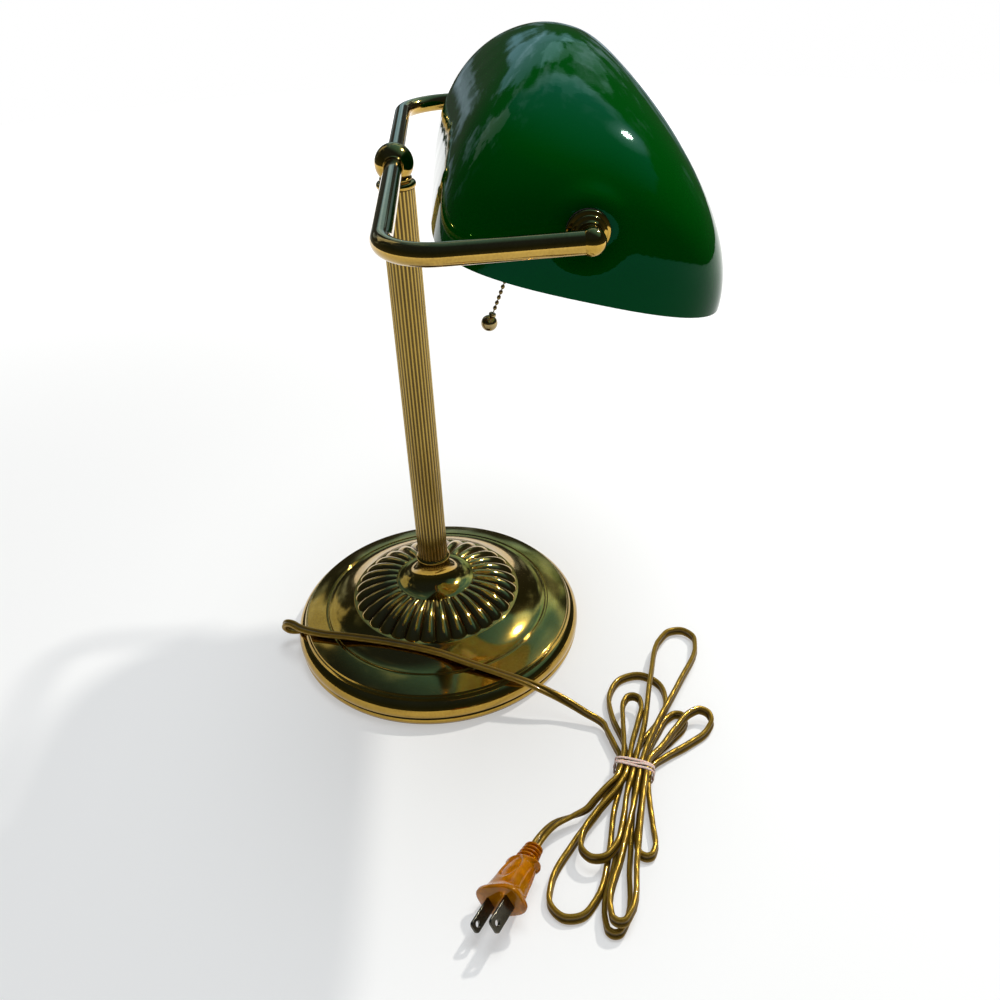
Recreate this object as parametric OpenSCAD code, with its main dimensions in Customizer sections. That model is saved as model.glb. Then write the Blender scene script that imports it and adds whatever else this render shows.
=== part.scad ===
// Bankers lamp: a brass desk lamp with a tilting cased glass shade.
// Origin at the middle of the base's underside, +Z up, X along the shade, front towards -Y.

/* [Base] */
// Widest radius of the domed cover
base_r = 94; // [92:0.5:96]
// Radius of the felt pad that the lamp stands on
felt_r = 88; // [84:0.5:89]
// Thickness of the felt pad
felt_t = 2; // [1.5:0.5:3]
// Height of the plate's outer edge
plate_z = 20; // [19:0.5:21]
// Height of the plateau under the petal ring
plateau_z = 31.4; // [30:0.2:32]
// Radius of the groove turned in the plate
groove_r = 73.3; // [71:0.1:75]
// Number of petals round the ring
petals = 32; // [24:1:36]
// Radius of the petal ring's foot
petal_out_r = 53.7; // [52:0.1:55]
// Radius of the petal ring's inner edge
petal_in_r = 25.8; // [25:0.1:27]
// Height of the petal ring's inner edge
petal_top_z = 42.3; // [41:0.1:44]

/* [Column] */
// Outer radius of the reeded tube over its reeds
column_r = 9.5; // [9:0.1:10]
// Height at which the tube starts
column_z = 61; // [60:0.5:63]
// Height at which the tube ends
column_top_z = 295.5; // [280:0.5:310]
// Number of reeds round the tube
reeds = 28; // [20:1:32]
// Radius of the ball that carries the yoke
ball_r = 10; // [9.5:0.1:10.5]

/* [Yoke] */
// Outer radius of the bent tube
tube_r = 4.75; // [4.5:0.05:4.8]
// Half the width between the arms' centre lines
yoke_half = 142; // [141:0.5:144]
// Reach of the arms from the back bar to the pivots
arm_reach = 82; // [80:0.5:84]
// Centre line radius of the two bends
bend_r = 25; // [22:1:28]
// Rise of the arms towards the front, in degrees
yoke_rise = 1.5; // [0:0.5:3]
// Radius of the balls that end the arms
end_ball_r = 5.6; // [5.4:0.1:6]

/* [Shade] */
// Half length at the rim
shade_a = 130.2; // [129:0.2:132]
// Half width at the rim
shade_b = 66.9; // [64:0.1:67]
// Height from rim to crown
shade_h = 83.5; // [80:0.5:84]
// Thickness of the cased glass
glass_t = 3; // [2.5:0.5:3.5]
// Tilt of the shade, front lower, in degrees
shade_tilt = 15.4; // [10:0.1:20]
// Height of the pivots above the rim
pivot_w = 28.1; // [27:0.1:29]
// How far the rim's middle lies in front of the pivots
pivot_u = 9; // [7:0.1:10]
// How far the crown leans back from the rim's middle
crown_lean = 16.2; // [12:0.2:17]

/* [Pull chain] */
// Place of the chain along the shade
chain_x = 5; // [2:1:8]
// Lean of the chain from plumb, towards the column
chain_lean = 22; // [0:1:24]
// Distance between beads
bead_pitch = 3.25; // [3:0.05:3.5]
// Radius of a bead
bead_r = 1.2; // [1:0.1:1.3]
// Distance from the pivot axis to the middle of the pendant
pendant_at = 100.5; // [90:0.5:102]

/* [Cord] */
// Width of the flat cord over both conductors
cord_w = 5.4; // [5:0.1:5.6]
// Thickness of the flat cord
cord_t = 2.8; // [2.5:0.1:3]

/* [Hidden] */
$fn = 96;

// Clearances: a running fit, a close fit within one body; then the sheet's thickness
run_gap = 0.05;
close_gap = 0.02;
sheet = 1.2;

// Base heights and radii that follow from the driving sizes
cover_foot_z = 0.6;
foot_r = base_r - 1.4;
plate_r = base_r - 6.3;
rod_r = 4.78;
rod_bore_r = 3.5;
exit_z = 9;
exit_turn = 95;
exit_r = base_r - 0.6;
exit_hole_r = 4.4;
ball_z = column_top_z + 12.3;
screw_r = 2;

// Pivot axis, in the yoke's own frame and in the lamp's
pivot_y = -arm_reach;
glass_seat_x = 127.9;
flange_t = 0.9;
rosette_x = glass_seat_x + flange_t + 0.3;
seat_t = 3.6;
glass_in_x = glass_seat_x - seat_t;
washer_x = glass_in_x - 2.2;
nut_x = washer_x - 3.5;
nipple_x = nut_x - 4.5;
nipple_r = 3.2;
bead_cord_r = 0.35;
grommet_r = 4.78;
pivot_hole_r = 4.8;

function mix(a, b, k) = a + (b - a) * k;
function ease(k) = let (c = max(0, min(1, k))) c * c * (3 - 2 * c);
function unit(v) = v / norm(v);
function power(v, e) = sign(v) * pow(abs(v), e);
function arc(c, r, a0, a1, n) = [for (i = [0:n]) let (a = mix(a0, a1, i / n)) c + r * [cos(a), sin(a)]];

// Places children in the yoke's frame: the middle of the ball, arms rising to the front
module in_yoke() {
    translate([0, 0, ball_z]) rotate([-yoke_rise, 0, 0]) children();
}

// Places children at the pivot axis in the yoke's frame
module at_pivot() {
    in_yoke() translate([0, pivot_y, 0]) children();
}

// Turns a piece made along +Z so that it runs along +X
module along_x() {
    rotate([0, 90, 0]) children();
}

// Repeats a piece made for the +X end at both ends
module both_ends() {
    children();
    mirror([1, 0, 0]) children();
}

// Triangles that join ring i of n points to the next one
function band(i, n, turned = false) = [for (j = [0:n - 1])
    let (a = i * n + j, b = i * n + (j + 1) % n, c = a + n, d = b + n)
    each turned ? [[a, c, b], [b, c, d]] : [[a, b, c], [b, d, c]]];

// Closed solid through a list of rings with the same number of points
module skin(rings) {
    n = len(rings[0]);
    m = len(rings);
    polyhedron(
        points = [for (r = rings) each r],
        faces = concat(
            [for (j = [1:n - 2]) [0, j + 1, j]],
            [for (i = [0:m - 2]) each band(i, n)],
            [for (j = [1:n - 2]) [(m - 1) * n, (m - 1) * n + j, (m - 1) * n + j + 1]]),
        convexity = 10);
}

// Closed ring-shaped solid: the last ring joins the first
module ring_skin(rings) {
    n = len(rings[0]);
    m = len(rings);
    polyhedron(
        points = [for (r = rings) each r],
        faces = [for (i = [0:m - 1], j = [0:n - 1])
            let (k = (i + 1) % m, a = i * n + j, b = i * n + (j + 1) % n,
                c = k * n + j, d = k * n + (j + 1) % n)
            each [[a, b, c], [b, d, c]]],
        convexity = 10);
}

// BASE

// Outer outline of the cover, from the foot to the plateau
function cover_outline() = concat(
    [[foot_r - 0.4, cover_foot_z]],
    arc([foot_r - 2.6, 3.7], 3.4, -55, 55, 6),
    arc([base_r - 8, 9.6], 8, -18, 66, 9),
    [[plate_r + 0.6, plate_z - 1.2], [plate_r, plate_z - 1.4], [plate_r - 0.6, plate_z]],
    [[groove_r + 1, 23.1], [groove_r + 0.6, 22.3], [groove_r - 0.6, 22.4], [groove_r - 1, 23.5]],
    [for (i = [1:8]) let (k = i / 8)
        [mix(groove_r - 1, petal_out_r + 1, k), mix(23.5, plateau_z, pow(k, 1.5))]]);

// Inner outline, one sheet's thickness inside
function cover_inside() = [
    [5, plateau_z - sheet], [petal_out_r, plateau_z - sheet], [groove_r - 10, 24.4],
    [groove_r - 2, 21.9], [groove_r + 2, 21.2], [plate_r - 2, plate_z - 1.8], [plate_r + 1, 17.3],
    [base_r - 3, 13], [base_r - 2.2, 9.6], [base_r - 2.8, 7.6], [foot_r - 1.6, 6],
    [foot_r - 1.6, cover_foot_z]];

// Axis of the hole where the cord leaves, starting at the base's middle
module along_exit() {
    translate([0, 0, exit_z]) rotate([0, 90, exit_turn]) children();
}

// Spun brass cover with its moulded rim, groove and raised plateau
module base_cover() {
    color("goldenrod") difference() {
        rotate_extrude($fn = 180)
            polygon(concat(cover_outline(), [[5, plateau_z]], cover_inside()));
        along_exit() translate([0, 0, base_r - 10]) cylinder(r = exit_hole_r, h = 12);
    }
}

// Outline of a petal's back, from its foot to its inner edge, k from 0 to 1
petal_rise = petal_top_z - plateau_z;
function petal_back(k) = let (a = 90 * k)
    [mix(petal_out_r, petal_in_r, pow(k, 1.35)), plateau_z + petal_rise * (sin(a) * 1.06 - 0.06 * k)];

// Cast ring of petals with a bore and a seat for the column's foot
module petal_ring() {
    steps = 8;
    per_petal = 5;
    n = petals * per_petal;
    seat_z = petal_top_z - 2;
    bore_r = 20;
    backs = [for (i = [0:steps]) let (
            k = i / steps,
            here = petal_back(k),
            ahead = petal_back(min(1, k + 0.02)),
            behind = petal_back(max(0, k - 0.02)),
            run = unit(ahead - behind),
            depth = 2.3 * pow(sin(mix(52, 150, k)), 1.2))
        [for (j = [0:n - 1]) let (
                turn = 360 * j / n,
                dip = depth * (1 - abs(sin(petals * turn / 2))),
                r = here[0] - dip * run[1],
                z = max(plateau_z + 0.02 * i, here[1] + dip * run[0]))
            [r * cos(turn), r * sin(turn), z]]];
    function plain(r, z) = [for (j = [0:n - 1]) [r * cos(360 * j / n), r * sin(360 * j / n), z]];
    color("darkgoldenrod") ring_skin(concat(backs,
        [plain(petal_in_r - 0.3, seat_z), plain(bore_r, seat_z), plain(bore_r, plateau_z)]));
}

// Cast iron disc that steadies the lamp, with a nut pocket and a way out for the cord
module base_weight() {
    color("dimgray") difference() {
        translate([0, 0, felt_t]) cylinder(r = base_r - 8, h = 13);
        translate([0, 0, -1]) cylinder(r = 5.2, h = 20);
        translate([0, 0, felt_t - 1]) cylinder(r = 14, h = 7);
        along_exit() translate([0, 0, 8]) cylinder(r = exit_hole_r, h = base_r);
    }
}

module felt_pad() {
    color("darkgreen") cylinder(r = felt_r, h = felt_t);
}

// Trumpet-shaped foot of the column, seated in the petal ring
module column_foot() {
    seat_z = petal_top_z - 2;
    out = [for (i = [0:12]) let (k = i / 12)
        [mix(petal_in_r - 0.5, 10.2, 1 - pow(1 - k, 2.4)), mix(seat_z + 1.6, column_z - 3, pow(k, 1.5))]];
    in = [for (i = [0:6]) let (k = 1 - i / 6)
        [mix(petal_in_r - 2.2, 8.6, 1 - pow(1 - k, 2.4)), mix(seat_z, column_z - 4.6, pow(k, 1.5))]];
    color("goldenrod") rotate_extrude() polygon(concat(
        [[petal_in_r - 0.5, seat_z]], out,
        arc([10, column_z - 1.7], 0.9, -70, 70, 4),
        [[9.6, column_z], [rod_r + 0.1, column_z], [rod_r + 0.1, column_z - 4.6]], in));
}

// Reeded brass tube
module column_tube() {
    reed_r = 0.62;
    color("gold") translate([0, 0, column_z])
        linear_extrude(column_top_z - column_z) difference() {
            union() {
                circle(r = column_r - reed_r * 0.7);
                for (i = [0:reeds - 1]) rotate(360 * i / reeds)
                    translate([column_r - reed_r, 0]) circle(r = reed_r, $fn = 24);
            }
            circle(r = column_r - 1.5);
        }
}

// Hollow threaded rod that ties base, column and ball together
module threaded_rod() {
    color("silver") difference() {
        translate([0, 0, 3]) cylinder(r = rod_r, h = ball_z - 8.2, $fn = 48);
        cylinder(r = rod_bore_r, h = ball_z, $fn = 48);
    }
}

module base_nut() {
    color("silver") difference() {
        translate([0, 0, 3.2]) cylinder(r = 9, h = 3.6, $fn = 6);
        cylinder(r = rod_r + close_gap, h = 10);
    }
}

module base_washer() {
    color("silver") difference() {
        translate([0, 0, 6.8]) cylinder(r = 11.5, h = 1.2);
        cylinder(r = rod_r + 0.1, h = 10);
    }
}

// Stepped ring on top of the column, cupped for the ball
module column_cap() {
    z = column_top_z;
    color("goldenrod") difference() {
        rotate_extrude() polygon(concat(
            [[rod_r + 0.1, z - 6], [column_r - 1.55, z - 6], [column_r - 1.55, z], [9.6, z]],
            arc([8.6, z + 1.8], 1.8, -80, 80, 8),
            [[8.2, z + 3.8]],
            arc([7.6, z + 4.9], 0.9, -60, 60, 4),
            [[rod_r + 0.1, z + 5.9]]));
        translate([0, 0, ball_z]) sphere(r = ball_r + close_gap);
    }
}

// Ball drilled across for the yoke's tube and from below for the rod
module yoke_ball() {
    color("goldenrod") translate([0, 0, ball_z]) difference() {
        sphere(r = ball_r);
        along_x() cylinder(r = tube_r + run_gap, h = 30, center = true);
        translate([0, 0, -12]) cylinder(r = rod_r + close_gap, h = 7.1);
        translate([0, 0, -12]) cylinder(r = 2.6, h = 12);
        rotate([-90, 0, 0]) cylinder(r = screw_r + close_gap, h = 12);
    }
}

// Grub screw that holds the yoke's tilt
module yoke_set_screw() {
    color("silver") translate([0, 0, ball_z]) rotate([-90, 0, 0]) difference() {
        translate([0, 0, tube_r + 0.1]) cylinder(r = screw_r, h = 4.3);
        translate([0, 0, 7.2]) cylinder(r = 1.1, h = 4, $fn = 6);
    }
}

// The two insulated conductors inside the rod
module column_leads() {
    color("peru") for (side = [-1, 1])
        translate([side * 1.25, 0, 4]) cylinder(r = 1.15, h = ball_z - 11, $fn = 24);
}

// YOKE

// Bent tube: a back bar through the ball, two bends and two arms
module yoke_tube() {
    bar = yoke_half - bend_r;
    arm_end = arm_reach - 3;
    color("goldenrod") in_yoke() difference() {
        union() {
            along_x() tube(2 * bar, center = true);
            both_ends() {
                translate([bar, -bend_r, 0]) rotate_extrude(angle = 90) translate([bend_r, 0]) ring2d();
                translate([yoke_half, -arm_end, 0]) rotate([-90, 0, 0]) tube(arm_end - bend_r);
            }
        }
        translate([0, 0, -tube_r - 1]) cylinder(r = 2.4, h = 4);
    }
}

module ring2d() {
    difference() {
        circle(r = tube_r, $fn = 48);
        circle(r = tube_r - sheet, $fn = 48);
    }
}

module tube(length, center = false) {
    linear_extrude(length, center = center) ring2d();
}

// Balls that close the arms and take the pivots
module yoke_end_balls() {
    cut = 3;
    color("goldenrod") in_yoke() both_ends() translate([yoke_half, pivot_y, 0]) difference() {
        union() {
            difference() {
                sphere(r = end_ball_r, $fn = 64);
                translate([-8, cut, -8]) cube([16, 8, 16]);
            }
            rotate([-90, 0, 0]) cylinder(r = tube_r - sheet - close_gap, h = 12);
        }
        rotate([-90, 0, 0]) cylinder(r = 2.2, h = 14);
        translate([-8, 0, 0]) along_x() cylinder(r = nipple_r + close_gap, h = 10);
    }
}

// Hollow threaded pivots through ball, rosette and glass
module pivot_nipples() {
    long = yoke_half + 1.5 - nipple_x;
    color("silver") at_pivot() both_ends() translate([nipple_x, 0, 0]) along_x() difference() {
        cylinder(r = nipple_r, h = long);
        translate([0, 0, -1]) cylinder(r = 2.1, h = long + 2);
    }
}

// Stepped rosettes between the end balls and the glass
module pivot_rosettes() {
    rosette_t = yoke_half - 5.2 - rosette_x;
    color("goldenrod") at_pivot() both_ends() difference() {
        translate([rosette_x, 0, 0]) along_x() rotate_extrude() polygon(concat(
            [[nipple_r + close_gap, 0], [8.5, 0]],
            arc([7.9, 1.1], 1, -60, 75, 5),
            [[7.2, 2.3]], arc([6.5, 3.3], 0.9, -50, 70, 5),
            [[5.9, 4.4], [5.3, 5.2], [5, 6.4], [5, rosette_t], [nipple_r + close_gap, rosette_t]]));
        translate([yoke_half, 0, 0]) sphere(r = end_ball_r + close_gap, $fn = 64);
    }
}

module inner_washers() {
    color("gold") at_pivot() both_ends() translate([washer_x, 0, 0]) along_x() difference() {
        cylinder(r = 8, h = 1.1);
        translate([0, 0, -1]) cylinder(r = nipple_r + close_gap, h = 4);
    }
}

module lock_nuts() {
    color("silver") at_pivot() both_ends() translate([nut_x, 0, 0]) along_x() difference() {
        cylinder(r = 6, h = 3.5, $fn = 6);
        translate([0, 0, -1]) cylinder(r = nipple_r + close_gap, h = 6);
    }
}

// SOCKET AND BULB, on the pivot axis, opening towards -X

stem_x = 38;
stem_r = 4.75;
cap_x = 22;
shell_r = 16;
mouth_x = -24;
bulb_x = -26;

// Brass pipe that carries the socket from the far pivot
module socket_stem() {
    color("gold") at_pivot() translate([stem_x, 0, 0]) along_x() difference() {
        cylinder(r = stem_r, h = nut_x - stem_x);
        translate([0, 0, -1]) cylinder(r = 3, h = 90);
        translate([0, 0, nipple_x - stem_x]) cylinder(r = nipple_r + close_gap, h = 5);
    }
}

// Domed cap of the socket
module socket_cap() {
    color("gold") at_pivot() translate([cap_x, 0, 0]) along_x() difference() {
        rotate_extrude() polygon(concat(
            [[shell_r + 0.1, 0], [shell_r + 0.9, 0], [shell_r + 0.9, 5]],
            arc([shell_r - 5.1, 5], 6, 0, 78, 8),
            [[6.4, 13], [6.4, 21], [stem_r + run_gap, 21], [stem_r + run_gap, 11]],
            arc([shell_r - 5.1, 5], 5.2, 78, 0, 8)));
        cylinder(r = stem_r + run_gap, h = 30);
    }
}

// Direction of the chain, from the pivot axis downwards
module along_chain(from = 0) {
    at_pivot() translate([chain_x, 0, 0]) rotate([180 + chain_lean + yoke_rise, 0, 0])
        translate([0, 0, from]) children();
}

module socket_shell() {
    color("gold") difference() {
        at_pivot() translate([mouth_x, 0, 0]) along_x() difference() {
            union() {
                cylinder(r = shell_r, h = cap_x - mouth_x + 4.6);
                rotate_extrude() translate([shell_r - 0.1, 0.8]) circle(r = 0.8, $fn = 24);
            }
            translate([0, 0, -1]) cylinder(r = shell_r - 0.7, h = 60);
        }
        along_chain(8) cylinder(r = 3.3, h = 12);
    }
}

// Fibre liner between shell and switch
module socket_liner() {
    color("ivory") difference() {
        at_pivot() translate([mouth_x + 1, 0, 0]) along_x() difference() {
            cylinder(r = shell_r - 0.75, h = 48);
            translate([0, 0, -1]) cylinder(r = shell_r - 1.4, h = 60);
        }
        along_chain(8) cylinder(r = 3.3, h = 12);
    }
}

// Moulded body with the pull switch inside
module socket_body() {
    color("saddlebrown") difference() {
        at_pivot() translate([1, 0, 0]) along_x() difference() {
            cylinder(r = shell_r - 1.5, h = 20);
            translate([0, 0, 16]) cylinder(r = 5, h = 10);
        }
        along_chain(0) cylinder(r = 3.3, h = 20);
        along_chain(-7) cylinder(r = 3.3, h = 10);
    }
}

// Threaded brass shell that takes the bulb
module screw_shell() {
    color("gold") at_pivot() translate([mouth_x + 3, 0, 0]) along_x() difference() {
        cylinder(r = 13.9, h = 22);
        translate([0, 0, -1]) cylinder(r = 13.4, h = 22);
        cylinder(r = 6, h = 30);
    }
}

module centre_contact() {
    color("gold") at_pivot() translate([-1, 0, 0]) along_x() cylinder(r = 3.5, h = 2);
}

// Flared guide that the chain leaves the socket by
module chain_bell() {
    color("gold") along_chain(13.5) rotate_extrude($fn = 48) polygon(
        [[1.9, 0], [3.2, 0], [3.2, 7.5], [3.6, 9.3], [4.6, 10.6], [4.6, 11.4], [3.6, 11.2],
         [2.6, 9.8], [1.9, 7.5]]);
}

// Tubular bulb
module bulb_glass() {
    r = 16;
    length = 80;
    color("white") at_pivot() translate([bulb_x, 0, 0]) rotate([0, -90, 0]) rotate_extrude() polygon(concat(
        [[0, 0], [12, 0], [12.6, 3], [14.6, 8]],
        arc([r - 8, 14], 8, -20, 0, 3),
        arc([0, length - r], r, 0, 90, 10)));
}

module bulb_base() {
    color("silver") at_pivot() translate([bulb_x, 0, 0]) along_x() {
        cylinder(r = 13.1, h = 20);
        translate([0, 0, 20]) cylinder(r1 = 10, r2 = 5, h = 3.5);
        translate([0, 0, 23.5]) cylinder(r = 4, h = 1.5);
    }
}

// SHADE

// Half width of the shade's profile, s from 0 at the crown to 1 at the rim, with a rounded top
function dome(s, c) = c * sqrt(pow(s * (sqrt(1 + 1 / (c * c)) - 1) + 1, 2) - 1);

// Ring of the shade's surface at height h, 0 at the rim and 1 at the crown, and inset into the glass.
// Its plan is a rounded oblong at the rim and relaxes to an ellipse at the crown.
shade_sides = 64;
function shade_ring(h, inset) = let (
        a = (shade_a - inset) * dome(1 - pow(h, 4.19), 0.36),
        b = (shade_b - inset) * dome(1 - pow(h, 1.98), 0.45),
        square_x = mix(8.1, 3, pow(h, 1.5)),
        square_y = mix(2.6, 2.2, pow(h, 1.5)),
        lean = crown_lean * pow(h, 1.38))
    [for (j = [0:shade_sides - 1]) let (turn = 360 * (j + 0.5) / shade_sides)
        [a * power(cos(turn), 2 / square_x), b * power(sin(turn), 2 / square_y) + lean,
         h * (shade_h - inset)]];

// Glass shell, made about its rim's middle, open below
module shade_shell() {
    heights = [0, 0.12, 0.24, 0.36, 0.48, 0.59, 0.69, 0.78, 0.86, 0.925, 0.97, 0.993];
    m = len(heights);
    n = shade_sides;
    top = [0, crown_lean, shade_h];
    under = [0, crown_lean, shade_h - glass_t];
    points = concat(
        [for (h = heights) each shade_ring(h, 0)],
        [for (h = heights) each shade_ring(h, glass_t)],
        [top, under]);
    polyhedron(points = points, faces = concat(
        [for (i = [0:m - 2]) each band(i, n, true)],
        [for (i = [m:2 * m - 2]) each band(i, n)],
        [for (j = [0:n - 1]) [(m - 1) * n + j, 2 * m * n, (m - 1) * n + (j + 1) % n]],
        [for (j = [0:n - 1]) [(2 * m - 1) * n + j, (2 * m - 1) * n + (j + 1) % n, 2 * m * n + 1]],
        [for (j = [0:n - 1]) let (k = (j + 1) % n) each [[j, k, m * n + j], [k, m * n + k, m * n + j]]]),
        convexity = 10);
}

// Places children in the shade's frame, with the pivot axis at its origin
module in_shade() {
    at_pivot() rotate([shade_tilt + yoke_rise, 0, 0]) children();
}

// The glass with a flat seat and a hole at each end for its pivots
module glass_shade() {
    color("darkgreen") in_shade() difference() {
        union() {
            translate([0, -pivot_u, -pivot_w]) shade_shell();
            both_ends() translate([glass_in_x, 0, 0]) along_x() cylinder(r = 10.4, h = seat_t);
        }
        along_x() cylinder(r = pivot_hole_r, h = 300, center = true);
        both_ends() {
            translate([glass_seat_x, 0, 0]) along_x() cylinder(r = 9.2, h = 10);
            translate([glass_in_x - 10, 0, 0]) along_x() cylinder(r = 8.8, h = 10);
        }
    }
}

// Rubber grommets that turn on the nipples
module pivot_grommets() {
    color("dimgray") in_shade() both_ends() translate([glass_in_x - 1, 0, 0]) along_x() difference() {
        union() {
            cylinder(r = 8, h = 1);
            cylinder(r = grommet_r, h = seat_t + 1);
            translate([0, 0, seat_t + 1]) cylinder(r = 8.8, h = flange_t);
        }
        translate([0, 0, -1]) cylinder(r = nipple_r + run_gap, h = 10);
    }
}

// PULL CHAIN

module beads(from, count) {
    along_chain(from) union() {
        for (i = [0:count - 1]) translate([0, 0, i * bead_pitch]) sphere(r = bead_r, $fn = 24);
        cylinder(r = bead_cord_r, h = (count - 1) * bead_pitch, $fn = 16);
    }
}

joint_at = 32;
tab_w = 1.2;
pin_r = 0.45;

// Turns a piece made along +Z to lie across the chain, on the coupling's pin
module on_pin() {
    along_chain(joint_at) rotate([0, 90, 0]) children();
}

// Short chain that the switch pulls back, with the forked coupling and its pin
module switch_chain() {
    color("gold") {
        beads(10, 6);
        difference() {
            along_chain(joint_at - 5) cylinder(r = 1.9, h = 6.5, $fn = 32);
            along_chain(joint_at - 1.7) translate([-tab_w / 2 - 0.2, -5, 0]) cube([tab_w + 0.4, 10, 5]);
        }
        on_pin() cylinder(r = pin_r, h = 3.4, center = true, $fn = 24);
    }
}

// Bead chain whose top tab turns on the coupling's pin
module pull_chain() {
    first = joint_at + 4;
    count = floor((pendant_at - 7.3 - first) / bead_pitch) + 1;
    color("gold") {
        difference() {
            union() {
                on_pin() cylinder(r = 1.05, h = tab_w, center = true, $fn = 32);
                along_chain(joint_at) translate([-tab_w / 2, -0.7, 0]) cube([tab_w, 1.4, 3.4]);
            }
            on_pin() cylinder(r = pin_r + run_gap, h = 6, center = true, $fn = 24);
        }
        beads(first, count);
        along_chain(first + (count - 1) * bead_pitch)
            cylinder(r = bead_cord_r, h = pendant_at - 6 - first - (count - 1) * bead_pitch, $fn = 16);
    }
}

// Pendant ball with its collar
module chain_pendant() {
    color("gold") along_chain(pendant_at - 6) rotate_extrude($fn = 48) polygon(concat(
        [[0, 0], [1.8, 0], [2.1, 0.5], [2.1, 1.4], [1.7, 1.9]],
        arc([0, 6.3], 4.6, -68, 90, 12)));
}

// CORD

// Bushing in the cover's rear edge
module cord_bushing() {
    color("black") along_exit() difference() {
        union() {
            translate([0, 0, exit_r - 4]) cylinder(r = exit_hole_r - run_gap, h = 4);
            translate([0, 0, exit_r - 5.5]) cylinder(r = 6, h = 1.5);
        }
        translate([0, 0, exit_r - 6]) cylinder(r = 2.8, h = 4);
    }
}

exit_dir = [cos(exit_turn), sin(exit_turn), 0];
exit_point = exit_r * exit_dir + [0, 0, exit_z];

// Direction of a smooth curve at its point i: the nearer neighbour counts for more
function run_at(p, i) = i == 0 ? unit(p[1] - p[0])
    : i == len(p) - 1 ? unit(p[i] - p[i - 1])
    : let (back = p[i] - p[i - 1], on = p[i + 1] - p[i], lb = norm(back), lo = norm(on))
        (back * lo / lb + on * lb / lo) / (lb + lo);

// Points on a smooth curve through a list of points, n to a step
function curve(p, n) = let (m = len(p)) concat(
    [for (i = [0:m - 2]) let (
            b = p[i], c = p[i + 1], step = norm(c - b),
            tb = run_at(p, i) * step, tc = run_at(p, i + 1) * step)
        for (j = [0:n - 1]) let (k = j / n, k2 = k * k, k3 = k2 * k)
            (2 * k3 - 3 * k2 + 1) * b + (k3 - 2 * k2 + k) * tb + (3 * k2 - 2 * k3) * c + (k3 - k2) * tc],
    [p[m - 1]]);
function length(p, i = 0) = i >= len(p) - 1 ? 0 : norm(p[i + 1] - p[i]) + length(p, i + 1);

// Flat section swept along points: from flat to standing on its edge between two of them
function heading(p, i) = unit(p[min(len(p) - 1, i + 1)] - p[max(0, i - 1)]);
function flat_rings(p, edge_from, edge_to, sides = 8) = [for (i = [0:len(p) - 1]) let (
        t = heading(p, i),
        across = unit([1, 0, 0] - ([1, 0, 0] * t) * t),
        over = cross(t, across),
        lie = 90 * ease((i - edge_from) / (edge_to - edge_from)),
        wide = across * cos(lie) + over * sin(lie),
        thin = over * cos(lie) - across * sin(lie))
    [for (j = [0:sides - 1]) let (a = -360 * (j + 0.5) / sides)
        p[i] + wide * cord_w / 2 * cos(a) / cos(180 / sides)
             + thin * cord_t / 2 * sin(a) / sin(90 - 180 / sides)]];

// Hank: the middle of its waist, the heading of its far side, and its two layers
waist = [-142, -110];
hank_turn = -19;
stand = cord_w / 2 + 0.1;
tie_lift = 1.4;
layer_step = cord_w + 0.9;
pass_pitch = 3.7;
function at_hank(s, t, z) = [
    waist[0] + s * cos(hank_turn) - t * sin(hank_turn),
    waist[1] + s * sin(hank_turn) + t * cos(hank_turn), z];

// Place across the waist and layer of each pass through the tie
passes = concat(
    [for (i = [0:5]) [(2.5 - i) * pass_pitch, 0]],
    [for (i = [0:4]) [(i - 2) * pass_pitch, 1]]);
// Loops on the near and the far side: fan in degrees, reach, half width, drop to the floor
near_loops = [[7.4, 88.5, 10.6, 0], [-4.2, 89.9, 2.9, 0], [-9.8, 44.5, 2.9, 0], [-1.8, 87.1, 3, 0],
    [10.1, 56.7, 7.7, 0]];
far_loops = [[4.2, 71.5, 15.9, 0], [-20.2, 47.1, 3.9, 0], [-30.5, 53, 5.5, 0], [-4.5, 119.1, 9.8, 0.9],
    [4.8, 46.8, 3.6, 0]];
waist_half = 7;

// Control points of one loop that leaves pass a and comes back by pass b, side -1 near, 1 far
function hank_loop(a, b, side, loop) = let (
        t0 = passes[a][0], t1 = passes[b][0], l0 = passes[a][1], l1 = passes[b][1],
        fan = loop[0], reach = loop[1], wide = loop[2], drop = loop[3],
        swing = sign(t0 - t1),
        belly = reach - wide,
        half = [[0.24 * belly, 0.16], [0.6 * belly, 0.74], [belly - 0.35 * wide, 1],
            [belly + 0.62 * wide, 0.72]],
        shape = concat(half, [[reach, 0]], [for (i = [3:-1:0]) [half[i][0], -half[i][1]]]))
    [for (i = [0:len(shape) - 1]) let (
            k = i / (len(shape) - 1),
            p = shape[i][0], q = shape[i][1] * wide * swing,
            s = p * cos(fan) - q * sin(fan),
            t = p * sin(fan) + q * cos(fan) + mix(t0, t1, ease(k)),
            layer = mix(l0, l1, ease((k - 0.1) / 0.65)) * (1 - drop * ease((p / reach - 0.7) / 0.3)))
        at_hank(side * (waist_half + s), t,
            stand + tie_lift * (1 - ease(p / 25)) + layer * layer_step)];

function pass_point(i, s) = at_hank(s, passes[i][0], stand + tie_lift + passes[i][1] * layer_step);

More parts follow.
